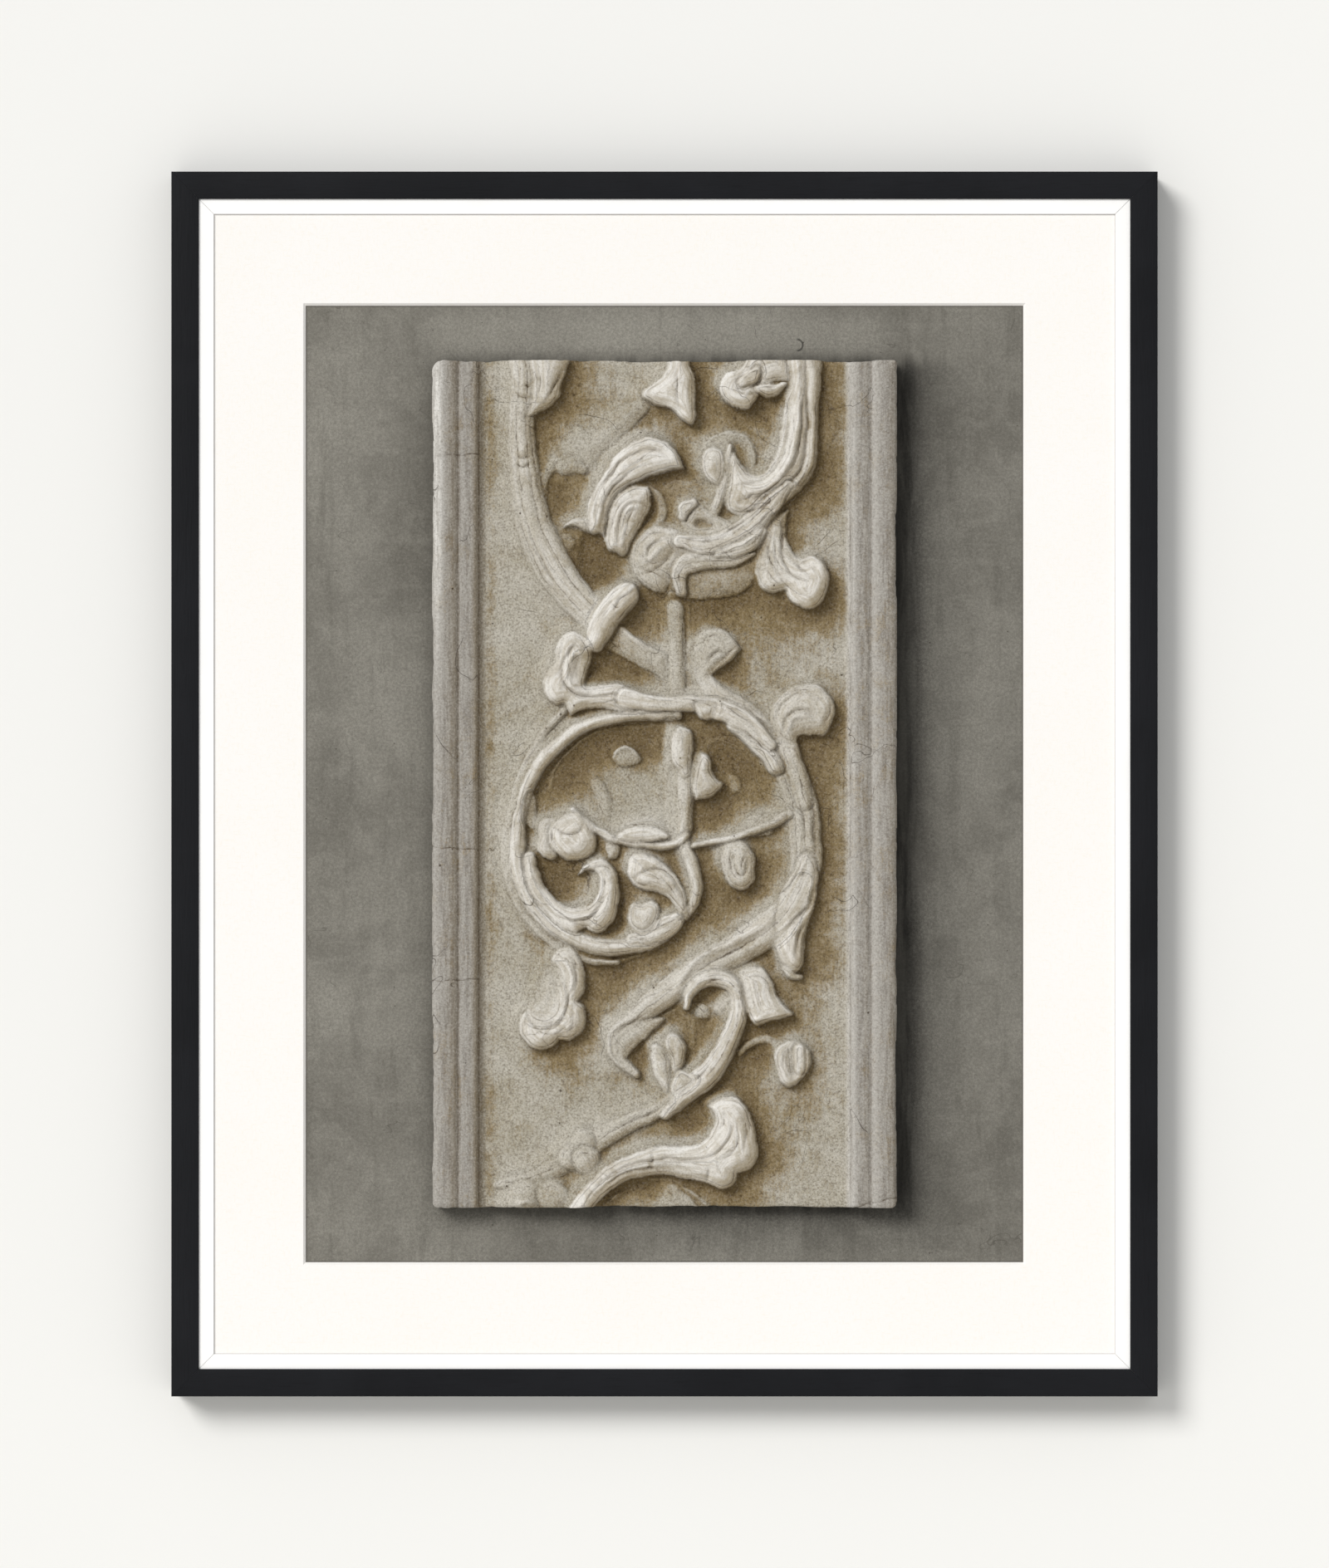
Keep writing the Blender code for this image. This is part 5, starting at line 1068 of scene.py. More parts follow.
def medallionInside(clay):
    clay.stem([(4, 38), (4, 4), (5, -34)], [4.2, 4.2, 4.0], 1.6, 1.2, 1)
    clay.form([(-46, 2), (-42, 4), (-38, 1), (-35, -8), (-34, -18), (-37, -24), (-41, -20), (-42, -10),
               (-46, -4)], 1.6, 1.4, (0, 0), 5)
    clay.groove([(-42, -8), (-41, -15), (-37, -22)], 0.9, 0.9)
    clay.form([(-33, 17), (-30, 22), (-25, 24), (-19, 21), (-15, 15), (-20, 12), (-28, 12)], 1.8, 0.8)
    clay.rib([(-33, 18), (-30, 22), (-25, 23.5), (-20, 21), (-17, 16)], 1.5, 2.0)
    clay.rib([(22, 22), (28, 27), (37, 28), (47, 23), (57, 12)], 1.5, 1.8)
    clay.form([(40, 5), (47, 3), (48, -4), (42, -5)], 1.0, 1.0)
    clay.stem([(13.5, 12), (13, -14), (12, -40)], [4.6, 4.4, 4.2], 3.8, 2.2, 1)
    clay.form([(9, 36), (15, 35), (18, 30), (17, 14), (17, 6), (12, 4), (10, 9), (10, 9), (6, 12), (4, 20),
               (5, 30)], 5.2, 2.2)
    clay.stem([(12, -38), (17, -50), (20, -62), (19, -74), (14, -85)], [4.2, 4.2, 3.8, 3.4, 1.5], 3.8, 2.2,
              1)
    clay.form([(23, 19), (20, 8), (18, -2), (19, -10), (19, -10), (26, -9), (32, -6), (37, 0), (37, 0),
               (33, 2), (30, 8), (29, 15)], 5.6, 2.4, (-0.03, -0.03))
    clay.form([(49, -30), (52, -23), (59, -19), (65, -23), (69, -30), (60, -33)], 2.4, 1.6)
    clay.form([(38, -38), (36, -48), (38, -58), (43, -65), (50, -67), (56, -63), (57, -54), (56, -44),
               (50, -36)], 4.4, 3.0, (0.02, -0.03), 5)
    clay.groove([(44, -45), (46, -56), (51, -57), (53, -46)], 1.3, 1.5)
    clay.groove([(43, -40), (41, -50), (43, -60)], 1.0, 0.9)
    clay.stem([(19, -39), (34, -36), (50, -32), (64, -27), (79, -19)], [1.4, 1.8, 2, 2.4, 2.6], 4.2, 1.8, 1)
    clay.form([(-21, -45), (-14, -44), (-6, -47), (3, -54), (9, -62), (13, -72), (15, -85), (15, -85),
               (8, -79), (1, -72), (-8, -68), (-16, -66), (-23, -60), (-23, -52)], 5.2, 2.6, (0, 0.02))
    clay.groove([(-20, -60), (-12, -55), (-3, -54), (5, -60), (11, -72)], 1.3, 1.8)
    clay.groove([(-20, -62), (-14, -64), (-9, -63)], 1.0, 1.2)
    clay.form([(-21, -76), (-15, -77), (-9, -75), (-4, -79), (-5, -87), (-9, -92), (-15, -94), (-21, -90),
               (-23, -83)], 4.6, 2.4, (0.03, -0.03))
    clay.form([(-38, -36), (-32, -35), (-29, -41), (-31, -46), (-37, -46)], 3.4, 1.8)
    clay.stem([(-58, -16), (-49, -25), (-40, -31), (-28, -36), (-10, -39), (6, -38), (14, -33)],
              [1.6, 2.2, 2.4, 2.0, 2.0, 2.2, 2], 4.4, 2.0, 1)
    clay.rib([(-33, -32), (-22, -25), (-8, -23.5), (4, -29), (9, -35)], 1.4, 2.2)
    clay.form([(-31, -33), (-24, -28.5), (-14, -27), (-4, -28.5), (3, -33), (-6, -36), (-18, -37),
               (-27, -35.5)], 5.6, 2.4)
    clay.form([(-80, -26), (-74, -22), (-68, -24), (-70, -35), (-68, -44), (-72, -48), (-78, -46),
               (-82, -40), (-80, -33)], 4.0, 2.4, (0, -0.03))
    clay.form([(-71, -27), (-63, -20), (-54, -19), (-47, -27), (-44, -35), (-46, -43), (-53, -48),
               (-61, -48), (-67, -44), (-67, -44), (-72, -37)], 5.2, 2.8, (0, -0.03))
    clay.groove([(-69, -27), (-62, -31), (-54, -30), (-52, -26)], 1.3, 1.8)
    clay.groove([(-71, -24), (-70, -33), (-67, -42)], 1.0, 1.0)
    clay.form([(-86, -6), (-82, -10), (-82, -26), (-87, -27), (-89, -18)], 2.4, 1.6)
    clay.form([(-89, -46), (-87, -62), (-81, -74), (-72, -84), (-62, -92), (-55, -94), (-50, -91),
               (-50, -91), (-44, -94), (-37, -92), (-31, -84), (-29, -72), (-30, -60), (-34, -51),
               (-41, -47), (-49, -50), (-54, -57), (-54, -57), (-48, -55), (-42, -57), (-40, -65),
               (-44, -74), (-52, -78), (-62, -78), (-72, -70), (-80, -56), (-84, -44)], 5.6, 2.8,
              (0.01, -0.02), 4)
    clay.rib([(-38, -60), (-40, -70), (-46, -80), (-56, -85), (-66, -82)], 1.4, 1.2)
    clay.groove([(-37, -58), (-37, -70), (-43, -81), (-55, -87), (-68, -83), (-78, -72)], 1.2, 1.5)
    clay.groove([(-33, -56), (-37, -52), (-44, -53)], 1.2, 1.4)


def lowerLeftLeaf(clay):
    clay.form([(-72, -112), (-66, -104), (-58, -105), (-53, -112), (-50, -122), (-51, -132), (-55, -138),
               (-55, -138), (-51, -142), (-50, -150), (-53, -157), (-60, -162), (-67, -162), (-67, -162),
               (-72, -167), (-80, -169), (-87, -165), (-92, -157), (-90, -147), (-84, -138), (-84, -138),
               (-76, -140), (-70, -136), (-66, -124), (-70, -116)], 4.8, 3.0, (0.02, -0.03), 5)
    clay.form([(-76, -118), (-70, -120), (-65, -132), (-66, -144), (-72, -151), (-80, -152), (-86, -148),
               (-86, -140), (-80, -132)], 2.6, 2.0, (0.02, -0.02), 6)
    clay.groove([(-87, -149), (-79, -155), (-70, -153), (-63, -145), (-61, -134), (-65, -122), (-71, -113)],
                1.4, 2.0)
    clay.rib([(-84, -146), (-78, -150), (-70, -149), (-66, -142), (-65, -132)], 1.4, 1.0)
    clay.groove([(-57, -114), (-55, -126), (-59, -138)], 1.2, 1.0)
    clay.groove([(-58, -144), (-60, -154), (-68, -159)], 1.2, 1.0)


def lowerBranch(clay):
    clay.stem([(88, -62), (78, -80), (64, -94), (48, -104), (32, -113), (14, -124), (-4, -137), (-20, -149),
               (-31, -159), (-33, -168), (-28, -176), (-18, -184)],
              [4, 8, 10, 10.5, 10, 9.5, 9, 8, 6.5, 5, 4, 2], 2.8, 3.0, 2, 0.3)
    clay.rib([(66, -88), (44, -100), (26, -108), (14, -118), (8, -130)], 3.0, 1.6)
    clay.rib([(-8, -150), (2, -146), (12, -140)], 1.5, 1.2)
    clay.form([(-34, -160), (-27, -154), (-16, -150), (0, -149), (-4, -154), (-10, -160), (-18, -167),
               (-24, -176), (-19, -183), (-27, -179), (-33, -171)], 3.0, 1.6, (0.03, 0.01), 6)


def loop(clay):
    clay.form([(42, -130), (47, -134), (45, -142), (40, -147), (34, -147.5), (31, -143), (35, -136)], 2.4,
              2.2)
    clay.groove([(44, -131), (41, -139), (38, -146)], 1.1, 1.6)
    clay.form([(19, -142), (23, -139.5), (28, -142), (29, -147), (24, -149), (19, -147)], 1.2, 1.4)
    clay.stem([(0, -209), (14, -196), (28, -184), (38, -170), (45, -155), (48, -140), (44, -129),
               (35, -124), (25, -125), (17, -132), (14, -142)],
              [4, 7, 8, 7.5, 6.5, 5.5, 5, 4.6, 4.4, 3.6, 1.6], [4.0, 5.2, 5.2, 5.2, 4.4], 3.4, 2, 0.35)
    clay.groove([(-1, -205), (8, -199), (20, -188), (30, -180)], 1.2, 1.4)
    clay.form([(-8, -167), (-4, -166), (0, -170), (4, -176), (5, -186), (4, -197), (1, -200), (-2, -192),
               (-7, -184), (-9, -175)], 4.4, 2.4, (0, 0), 5)
    clay.form([(2, -160), (5, -158.5), (9, -159.5), (12, -163), (14, -169), (13, -176), (11, -181),
               (8, -186), (5, -182), (4, -174), (1, -168)], 5.0, 2.4, (0, 0), 5)
    clay.form([(10, -182), (15, -184), (20, -188), (14, -193), (7, -198), (4, -199), (5, -190)], 5.2, 1.6)
    clay.groove([(0, -170), (4, -179), (4, -190), (2, -198)], 1.0, 1.5)
    clay.groove([(2, -170), (5, -173), (7, -177)], 0.8, 1.0)
    clay.groove([(12, -182), (18, -176), (19, -168)], 0.8, 0.8)


def bellLeafAndBud(clay):
    clay.form([(47, -119), (56, -116), (64, -118), (69, -125), (71, -134), (75, -141), (81, -147),
               (81, -147), (74, -149), (66, -150), (58, -153), (54, -148), (51, -138), (49, -128)], 4.8,
              3.2, (0.02, -0.05), 5)
    clay.rib([(55, -149), (64, -149), (72, -147), (80, -147)], 2.6, 1.8)
    clay.groove([(58, -126), (60, -136), (62, -144)], 1.4, 0.9)
    clay.stem([(48, -171), (56, -164), (66, -162), (75, -167)], [1.6, 2.0, 2.4, 3.0], 1.4, 1.6, 1)
    clay.form([(84, -162), (92, -168), (93, -178), (89, -185), (83, -191), (79, -193), (79, -193),
               (73, -188), (70, -178), (71, -169), (76, -164)], 4.6, 3.2, (0.0, -0.03), 4)
    clay.hollow([(80, -171), (81, -183)], [6, 5], 2.6)
    clay.leaf([(86, -168), (86, -180)], [3.5, 3], 5.6, 1.4, 1)


def bottomStem(clay):
    clay.stem([(-106, -254), (-84, -250), (-66, -242), (-46, -229), (-26, -217), (-8, -209), (2, -200)],
              [2.5, 4, 5.5, 6.5, 6.5, 5.5, 3], [1.0, 1.2, 2.0], 2.2, 2, 0.4)
    clay.groove([(-1, -200), (-8, -208), (-19, -214)], 1.2, 1.6)
    clay.boss(-51, -227, 7.6, 2.2, 2.4)
    clay.boss(-59, -237.5, 7.4, 2.6, 2.4)
    clay.boss(-50, -239, 8.4, 3.0, 2.6)
    clay.rib([(-58, -237), (-53, -235), (-49, -240)], 1.1, 1.2)
    clay.rib([(-48, -231), (-44, -233), (-42, -236)], 1.1, 1.0)
    clay.boss(-88, -263, 11, 2.2, 2.8)
    clay.boss(-71, -262, 10, 2.2, 2.6)
    clay.rib([(-94, -267), (-88, -264), (-81, -267)], 1.6, 2.2)


def bottomLeaf(clay):
    clay.rib([(-42, -272), (-30, -261), (-16, -258), (-6, -261), (2, -268)], 1.5, 1.6)
    clay.rib([(-14, -251), (4, -252), (18, -260), (28, -270)], 2.0, 2.0)
    clay.form([(-2, -262), (4, -254), (12, -258), (18, -266), (18, -274), (-2, -274)], 1.6, 1.4)
    clay.form([(-62, -276), (-56, -262), (-46, -250), (-34, -241), (-20, -235), (-5, -231), (10, -230),
               (22, -228), (30, -220), (32, -212), (28, -205), (28, -205), (34, -200), (42, -199),
               (50, -203), (56, -213), (59, -226), (59, -237), (55, -243), (46, -247), (46, -247),
               (44, -253), (38, -257), (31, -255), (24, -252), (10, -250), (-6, -248), (-20, -250),
               (-32, -256), (-42, -264), (-48, -276)], 6.4, 3.2, (0, 0), 5)
    clay.groove([(-50, -262), (-36, -249), (-20, -241), (-4, -239), (14, -238), (30, -235), (40, -227),
                 (43, -217), (38, -209)], 1.5, 2.0)
    clay.groove([(-44, -260), (-30, -249), (-16, -244), (0, -244), (16, -244)], 1.1, 1.2)
    clay.groove([(33, -222), (38, -215), (36, -209)], 1.1, 1.2)
    clay.groove([(52, -206), (54, -216), (53, -224)], 1.1, 1.0)
    clay.groove([(28, -244), (27, -252)], 1.1, 1.8)
    clay.groove([(-7, -233), (-9, -243)], 0.9, 1.3)
    clay.rib([(30, -200), (40, -197), (50, -201)], 1.4, 1.0)


def drawnDetails(clay):
    # Fine lines cut and raised on the finished forms: half width and depth in mm, and the paths
    cuts = [
        (0.8, 0.9, [
            [(-71.5, 0), (-68, 10), (-61, 19.5), (-52, 27)],
            [(-33, 16), (-28, 12), (-20, 10.5), (-14, 11)],
            [(-73, -20), (-71, -28), (-71, -36), (-69, -43)],
            [(-30, -30), (-22, -26.5), (-12, -25.5), (-2, -28)], [(-39, -58), (-37, -63), (-40, -68)],
            [(24, 24), (30, 28), (38, 28), (46, 24), (54, 16), (59, 10)],
            [(38, 38), (50, 33), (60, 25), (70, 16), (76, 9)], [(78, 4), (84, -8), (88, -22), (89, -36)],
            [(86, 2), (93, -12), (96, -28), (97, -44)], [(60, 8), (66, -2), (72, -16)],
            [(46, -42), (42, -50), (44, -58), (50, -62)], [(53, -42), (49, -50), (50, -57)],
            [(-84, 238), (-84, 215), (-82, 200), (-79, 184)], [(-86, 228), (-83, 226), (-79, 225)],
            [(-84, 222), (-81, 219)], [(-47, 172), (-43, 186), (-36, 197), (-27, 206)],
            [(-24, 201), (-17, 204), (-12, 209), (-5, 211.5), (2, 209)],
            [(-21, 213), (-15, 215), (-9, 213.5)], [(-33, 160), (-32, 170), (-27, 178), (-19, 182)],
            [(-28, 160), (-25, 170), (-20, 175)], [(-10, 146), (-8, 151), (-3, 154)],
            [(-19, 138), (-12, 136), (-4, 133), (2, 129)], [(-15, 147), (-8, 141), (1, 143)],
            [(16, 158.5), (24, 155), (34, 155.5), (44, 160)],
            [(20, 149), (30, 146.5), (38, 147), (48, 150)], [(44, 208), (42, 196), (39, 184), (33, 174)],
            [(71, 194), (63, 188.5), (54, 187), (48, 189)], [(82, 232), (81, 216), (75, 202), (67, 193)],
            [(87, 240), (87, 220), (83, 205), (76, 194)], [(93, 212), (90, 200), (85, 190), (78, 183)],
            [(72, 184), (64, 177), (54, 173), (44, 173)], [(58, 185), (54, 182), (49, 180)],
            [(79, 168), (76, 158), (74, 148), (74.5, 139)], [(64, 160), (64, 152), (67, 148)],
            [(76, 140), (81, 133), (88, 129), (94, 129)], [(81, 143), (86, 137), (93, 132)],
            [(70, 134), (77, 126), (84, 121), (92, 118)], [(64, 137), (68, 130), (74, 125)],
            [(22, -130), (30, -125), (40, -123)],
            [(-28, -150), (-20, -142), (-10, -135), (0, -131), (10, -130)],
            [(-30, -158), (-20, -150), (-8, -144)], [(-12, -152), (-2, -146), (10, -139)],
            [(18, -190), (27, -180), (33, -170)], [(-36, -222), (-22, -214), (-10, -206)],
            [(52, -124), (58, -121), (65, -124), (68, -132)], [(55, -130), (57, -139), (61, -146)],
            [(76, -170), (75, -180), (79, -188)], [(-63, -108), (-57, -112), (-56, -124), (-59, -134)],
            [(-84, -152), (-77, -158), (-68, -157), (-60, -150)],
            [(-62, -158), (-57, -152), (-57, -146)],
            [(-40, -255), (-26, -246), (-10, -242.5), (10, -242)], [(50, -209), (52, -220), (50, -232)],
            [(46, -214), (47, -225), (42, -235), (30, -239)], [(-64, 92), (-66, 84), (-70, 75)],
            [(-54, 90), (-60, 84), (-61, 76), (-58, 67)], [(-44, 52), (-34, 53), (-26, 51)],
            [(0, 54), (14, 53), (28, 50), (40, 45)], [(104, 54), (105, 46), (101, 38)],
            [(72, 52), (80, 57), (90, 59), (98, 57)], [(40, 93), (33, 95), (26, 92), (23, 84)],
            [(46, 87), (40, 83), (34, 77)], [(-36, 118), (-30, 112), (-26, 116)],
            [(-44, 100), (-39, 108), (-33, 113)], [(0, 80), (0, 66)],
            [(11.5, 112), (11.5, 90), (11.5, 66)], [(16.5, 10), (16.5, -12), (15.5, -36)],
            [(-60, -87), (-50, -90), (-42, -86)], [(-80, -62), (-72, -76), (-60, -86), (-48, -98)],
            [(-86, -78), (-74, -92), (-60, -102), (-44, -108)], [(74, -70), (70, -84), (70, -98)],
            [(-8, -60), (0, -62), (6, -70), (10, -80)], [(60, -96), (46, -106), (30, -114), (16, -122)]]),
        (0.7, 0.5, [
            [(58, -66), (62, -68), (66, -71)], [(-88, 168), (-84, 152), (-76, 136), (-66, 124)],
            [(-82, 160), (-76, 144), (-66, 130), (-56, 118)], [(-58, 252), (-46, 252), (-30, 250)],
            [(-94, -60), (-88, -76), (-78, -89)], [(-101, 230), (-100, 200), (-97, 172), (-88, 146)]]),
        (0.6, 0.5, [
            [(-72, 53), (-84, 39), (-96, 19), (-104.5, -4), (-108, -28), (-107, -54)],
            [(-66.5, 46), (-77.5, 34.5), (-89, 17), (-97, -3), (-101.5, -25), (-101.5, -45)],
            [(-103, -62), (-95.5, -81), (-83, -96.5), (-66, -109), (-49, -116), (-30, -118)],
            [(-57, -226), (-54, -221), (-48, -221), (-45, -226)],
            [(-64, -240), (-63, -234), (-58, -232)],
            [(-55, -238), (-51, -234), (-46, -236), (-43, -240)],
            [(-97, -262), (-92, -256), (-85, -256), (-80, -261)],
            [(-78, -258), (-71, -255), (-64, -259)]]),
        (1.3, 1.3, [
            [(-34, 27), (-32, 26.5)], [(-29, 37.5), (-27.5, 37)], [(-41, 24), (-40, 23.5)],
            [(-18, 24), (-17, 23)], [(-40.5, 163), (-39, 157), (-36, 151)], [(70, 195), (71, 194)],
            [(21, 163), (23, 162.5)], [(44, 122), (45, 121)], [(72, 118.5), (74, 118)]]),
    ]
    ridges = [
        (0.9, 0.7, [
            [(84, 0), (90, -14), (93, -30), (94, -46)], [(-82, 200), (-82, 190), (-80, 182)],
            [(-55, -60), (-52, -54), (-46, -51), (-40, -53)], [(-45, 264.5), (-35, 263), (-25, 262)],
            [(-23, 174), (-19, 176), (-14, 173.5)], [(4, 132), (6, 126), (9.5, 121)],
            [(44, 152), (50, 153), (57, 157)], [(67, 168), (72, 174), (79, 181)],
            [(88, 190), (93, 199), (96, 210)], [(28, -206), (33, -200.5), (42, -197.5), (50, -201)],
            [(-24, 8), (-27, 0), (-25, -10)], [(2, -196), (8, -203), (14, -198)],
            [(-66, 90), (-70, 84), (-71, 77)], [(-93, 6), (-87, 17), (-78, 29)]]),
    ]
    for mark, families in ((clay.groove, cuts), (clay.rib, ridges)):
        for half, depth, paths in families:
            for path in paths:
                mark(path, half, depth)


carvedGroups = [
    lowForms, leftVine, topFragments, rightArc, upperNest, hangingRightLeaf, crossingBranches,
    curledLeafByPost, medallionRings, medallionRightLeaf, garland, sheathLeaf, medallionInside,
    lowerLeftLeaf, lowerBranch, loop, bellLeafAndBud, bottomStem, bottomLeaf, drawnDetails]


def blurred(field, radius):
    # Gaussian blur, radius in mm, along one way and then the other, with the edges held
    reach = int(np.ceil(2.6 * radius / relief["pitch"]))
    weights = np.exp(-0.5 * (np.arange(-reach, reach + 1) * relief["pitch"] / radius) ** 2)
    weights = weights / weights.sum()
    rows, columns = field.shape
    padded = np.pad(field, reach, mode="edge")
    tall = sum(weight * padded[step:step + rows] for step, weight in enumerate(weights))
    return sum(weight * tall[:, step:step + columns] for step, weight in enumerate(weights))


def shifted(field, right, down):
    # The field moved right and down by whole grid steps, with the edges held
    rows, columns = field.shape
    fromRow = np.clip(np.arange(rows) + down, 0, rows - 1)
    fromColumn = np.clip(np.arange(columns) - right, 0, columns - 1)
    return field[fromRow][:, fromColumn]


def roughness(shape, size, seed):
    # Random numbers blurred to bumps of the size in mm, scaled back to a spread of 1
    rough = blurred(np.random.default_rng(seed).standard_normal(shape), size)
    return rough / rough.std()


def sampled(field, row, column):
    # The field between its grid points, by bilinear mixing
    row = np.clip(row, 0, field.shape[0] - 1.001)
    column = np.clip(column, 0, field.shape[1] - 1.001)
    low, left = row.astype(int), column.astype(int)
    up, right = row - low, column - left
    bottom = field[low, left] * (1 - right) + field[low, left + 1] * right
    top = field[low + 1, left] * (1 - right) + field[low + 1, left + 1] * right
    return bottom * (1 - up) + top * up


def strokesAlong(acrossForm, alongForm, fine, long, seed):
    # Random numbers read at (across / fine, along / long), so that they streak along each form
    numbers = np.random.default_rng(seed).standard_normal((512, 512))
    row = np.mod(acrossForm / fine + 200, 510)
    column = np.mod(alongForm / long + 200, 510)
    return sampled(numbers, row, column)


def mouldingHeight(fromSide):
    # Roll and band: groove + (rise - groove) * (1 - |u|^n)^0.5 across each; then a power curve falls away
    def rounded(start, end, rise, flatness):
        u = np.clip(np.abs(fromSide - (start + end) / 2) / ((end - start) / 2), 0, 1)
        return relief["grooveRise"] + (rise - relief["grooveRise"]) * (1 - u ** flatness) ** 0.5

    bandEnd = relief["rollWidth"] + relief["bandWidth"]
    roll = rounded(-relief["wornEdge"], relief["rollWidth"], relief["rollRise"], 2.2)
    band = rounded(relief["rollWidth"], bandEnd, relief["bandRise"], 3.0)
    fall = np.clip((bandEnd + relief["slopeWidth"] - fromSide) / relief["slopeWidth"], 0, 1)
    return np.where(fromSide < relief["rollWidth"], roll,
                    np.where(fromSide < bandEnd, band, relief["grooveRise"] * fall ** 1.7))


def panelSurface():
    # On an even grid in mm: places from the panel's middle and from its rim, the face's height over the
    # ground, the carving's height alone, and where each place lies on its form
    width, height = 2000 * panelHalf[0], 2000 * panelHalf[2]
    across = np.linspace(-width / 2, width / 2, round(width / relief["pitch"]) + 1)
    up = np.linspace(-height / 2, height / 2, round(height / relief["pitch"]) + 1)
    x, z = np.meshgrid(across, up)
    clay = Clay(across, up, relief["waves"] * np.sin(0.07 * x + 1.3) * np.sin(0.05 * z + 0.4))
    for group in carvedGroups:
        group(clay)
    row, column = np.indices(x.shape)
    wander = relief["unsteady"] / relief["pitch"]
    row = row + wander * (roughness(x.shape, 6.0, 11) * 0.8 + roughness(x.shape, 1.9, 12) * 0.45)
    column = column + wander * (roughness(x.shape, 6.0, 13) * 0.8 + roughness(x.shape, 1.9, 14) * 0.45)
    carved = sampled(clay.height, row, column) * relief["carvingRise"]
    fromSide = width / 2 - np.abs(x)
    fromEnd = height / 2 - np.abs(z)
    moulded = mouldingHeight(fromSide)
    bandEnd = relief["rollWidth"] + relief["bandWidth"]
    face = np.where(fromSide > bandEnd, np.maximum(moulded, carved), moulded)
    face = np.where(fromSide > bandEnd + relief["slopeWidth"], carved, face)
    lap = round(relief["lapUpperLeft"] / relief["pitch"])
    lapped = 0.8 * shifted(blurred(carved, relief["softUpperLeft"]), -lap, -lap)
    inside = smoothStep((fromSide - bandEnd - relief["slopeWidth"]) / 4)
    face = np.where(lapped > face, face + inside * (lapped - face), face)
    face = blurred(face, relief["softening"])
    beside = fromSide < bandEnd + relief["slopeWidth"]
    seams = np.minimum(np.abs(fromSide - relief["rollWidth"]), np.abs(fromSide - bandEnd - 1.0))
    for side, up, slant in relief["mouldingCracks"]:
        crack = np.abs(z - up - slant * (x - side * width / 2) - 0.5 * np.sin(0.5 * x))
        crack = crack + Clay.far * ((x * side < 0) | (fromSide > bandEnd + 2))
        face = face - 0.6 * np.exp(-(crack / 0.7) ** 2)
        seams = np.minimum(seams, crack)
    fromLine = np.where(beside, seams, sampled(clay.fromLine, row, column))
    fromEdge = np.where(beside, Clay.far, sampled(clay.fromEdge, row, column))
    acrossForm = np.where(beside, fromSide + 300 * (x > 0), clay.acrossForm)
    alongForm = np.where(beside, z, clay.alongForm)
    places = {"acrossForm": acrossForm, "alongForm": alongForm, "fromEdge": fromEdge, "fromLine": fromLine}
    return x, z, fromSide, fromEnd, face, carved * inside, places


def patinaAndLightMasks(x, z, face, carved):
    # The brown mask: how far a place lies under the smoothed height up and left of it, which is brown patina
    # and painted shadow down and right of the forms, away from the light, with more patina in the pools; the
    # crevice
    # mask: painted shade by how far a place lies under its close surroundings; raised: how high the carving
    # is;
    # the crest mask: painted highlight by how far a place stands over its close surroundings on a side that
    # faces the light, with the forms rubbed cleaner; shade and falling: painted shade by how steeply a side,
    # and a form's broad top, fall away from the light
    def under(field, radius, reach, drop):
        step = round(reach / relief["pitch"])
        return np.clip((shifted(blurred(field, radius), step, step) - face) / drop, 0, 1)

    def spotted(spots):
        return sum(share * np.exp(-((x - right) ** 2 + (z - up) ** 2) / radius ** 2)
                   for right, up, radius, share in spots)

    raised = smoothStep((carved - 1.0) / 9.0) * (1 - np.clip(spotted(plaster["dullForms"]), 0, 0.8))
    clean = spotted(plaster["cleanForms"]) * smoothStep(carved / 5)
    near = under(carved, *relief["brownShadowNear"])
    wide = under(carved, *relief["brownShadowWide"])
    pools = spotted(plaster["brownPools"]) * (1 - smoothStep(carved / 4))
    patinaAndShadow = np.clip(0.55 * wide + 0.6 * near + pools, 0, 1)
    steep, gentle = (np.gradient(blurred(face, relief[name]), relief["pitch"])
                     for name in ("steepBlur", "gentleBlur"))
    facing = (steep[1] - steep[0]) / math.sqrt(2)
    turned = (gentle[1] - gentle[0]) / math.sqrt(2)
    rubbedCrestHighlight = np.clip((face - blurred(face, relief["gentleBlur"])) / 1.3, 0, 1)
    rubbedCrestHighlight = rubbedCrestHighlight * smoothStep(0.35 + 0.7 * facing) * (0.35 + 0.65 * raised)
    rubbedCrestHighlight = np.maximum(rubbedCrestHighlight, np.clip(2.2 * turned - 0.05, 0, 0.6) * raised) + clean
    shade = np.clip(np.clip(-0.5 * facing, 0, 1) + np.clip(-0.8 * turned - 0.04, 0, 0.6), 0, 1)
    falling = np.clip(-2.6 * turned - 0.05 - 0.8 * clean, 0, 0.7) * smoothStep(carved / 4)
    return {"patinaAndShadow": patinaAndShadow, "creviceShade": under(face, *relief["creviceShade"]), "raised": raised, "rubbedCrestHighlight": rubbedCrestHighlight,
            "shade": shade, "falling": falling}


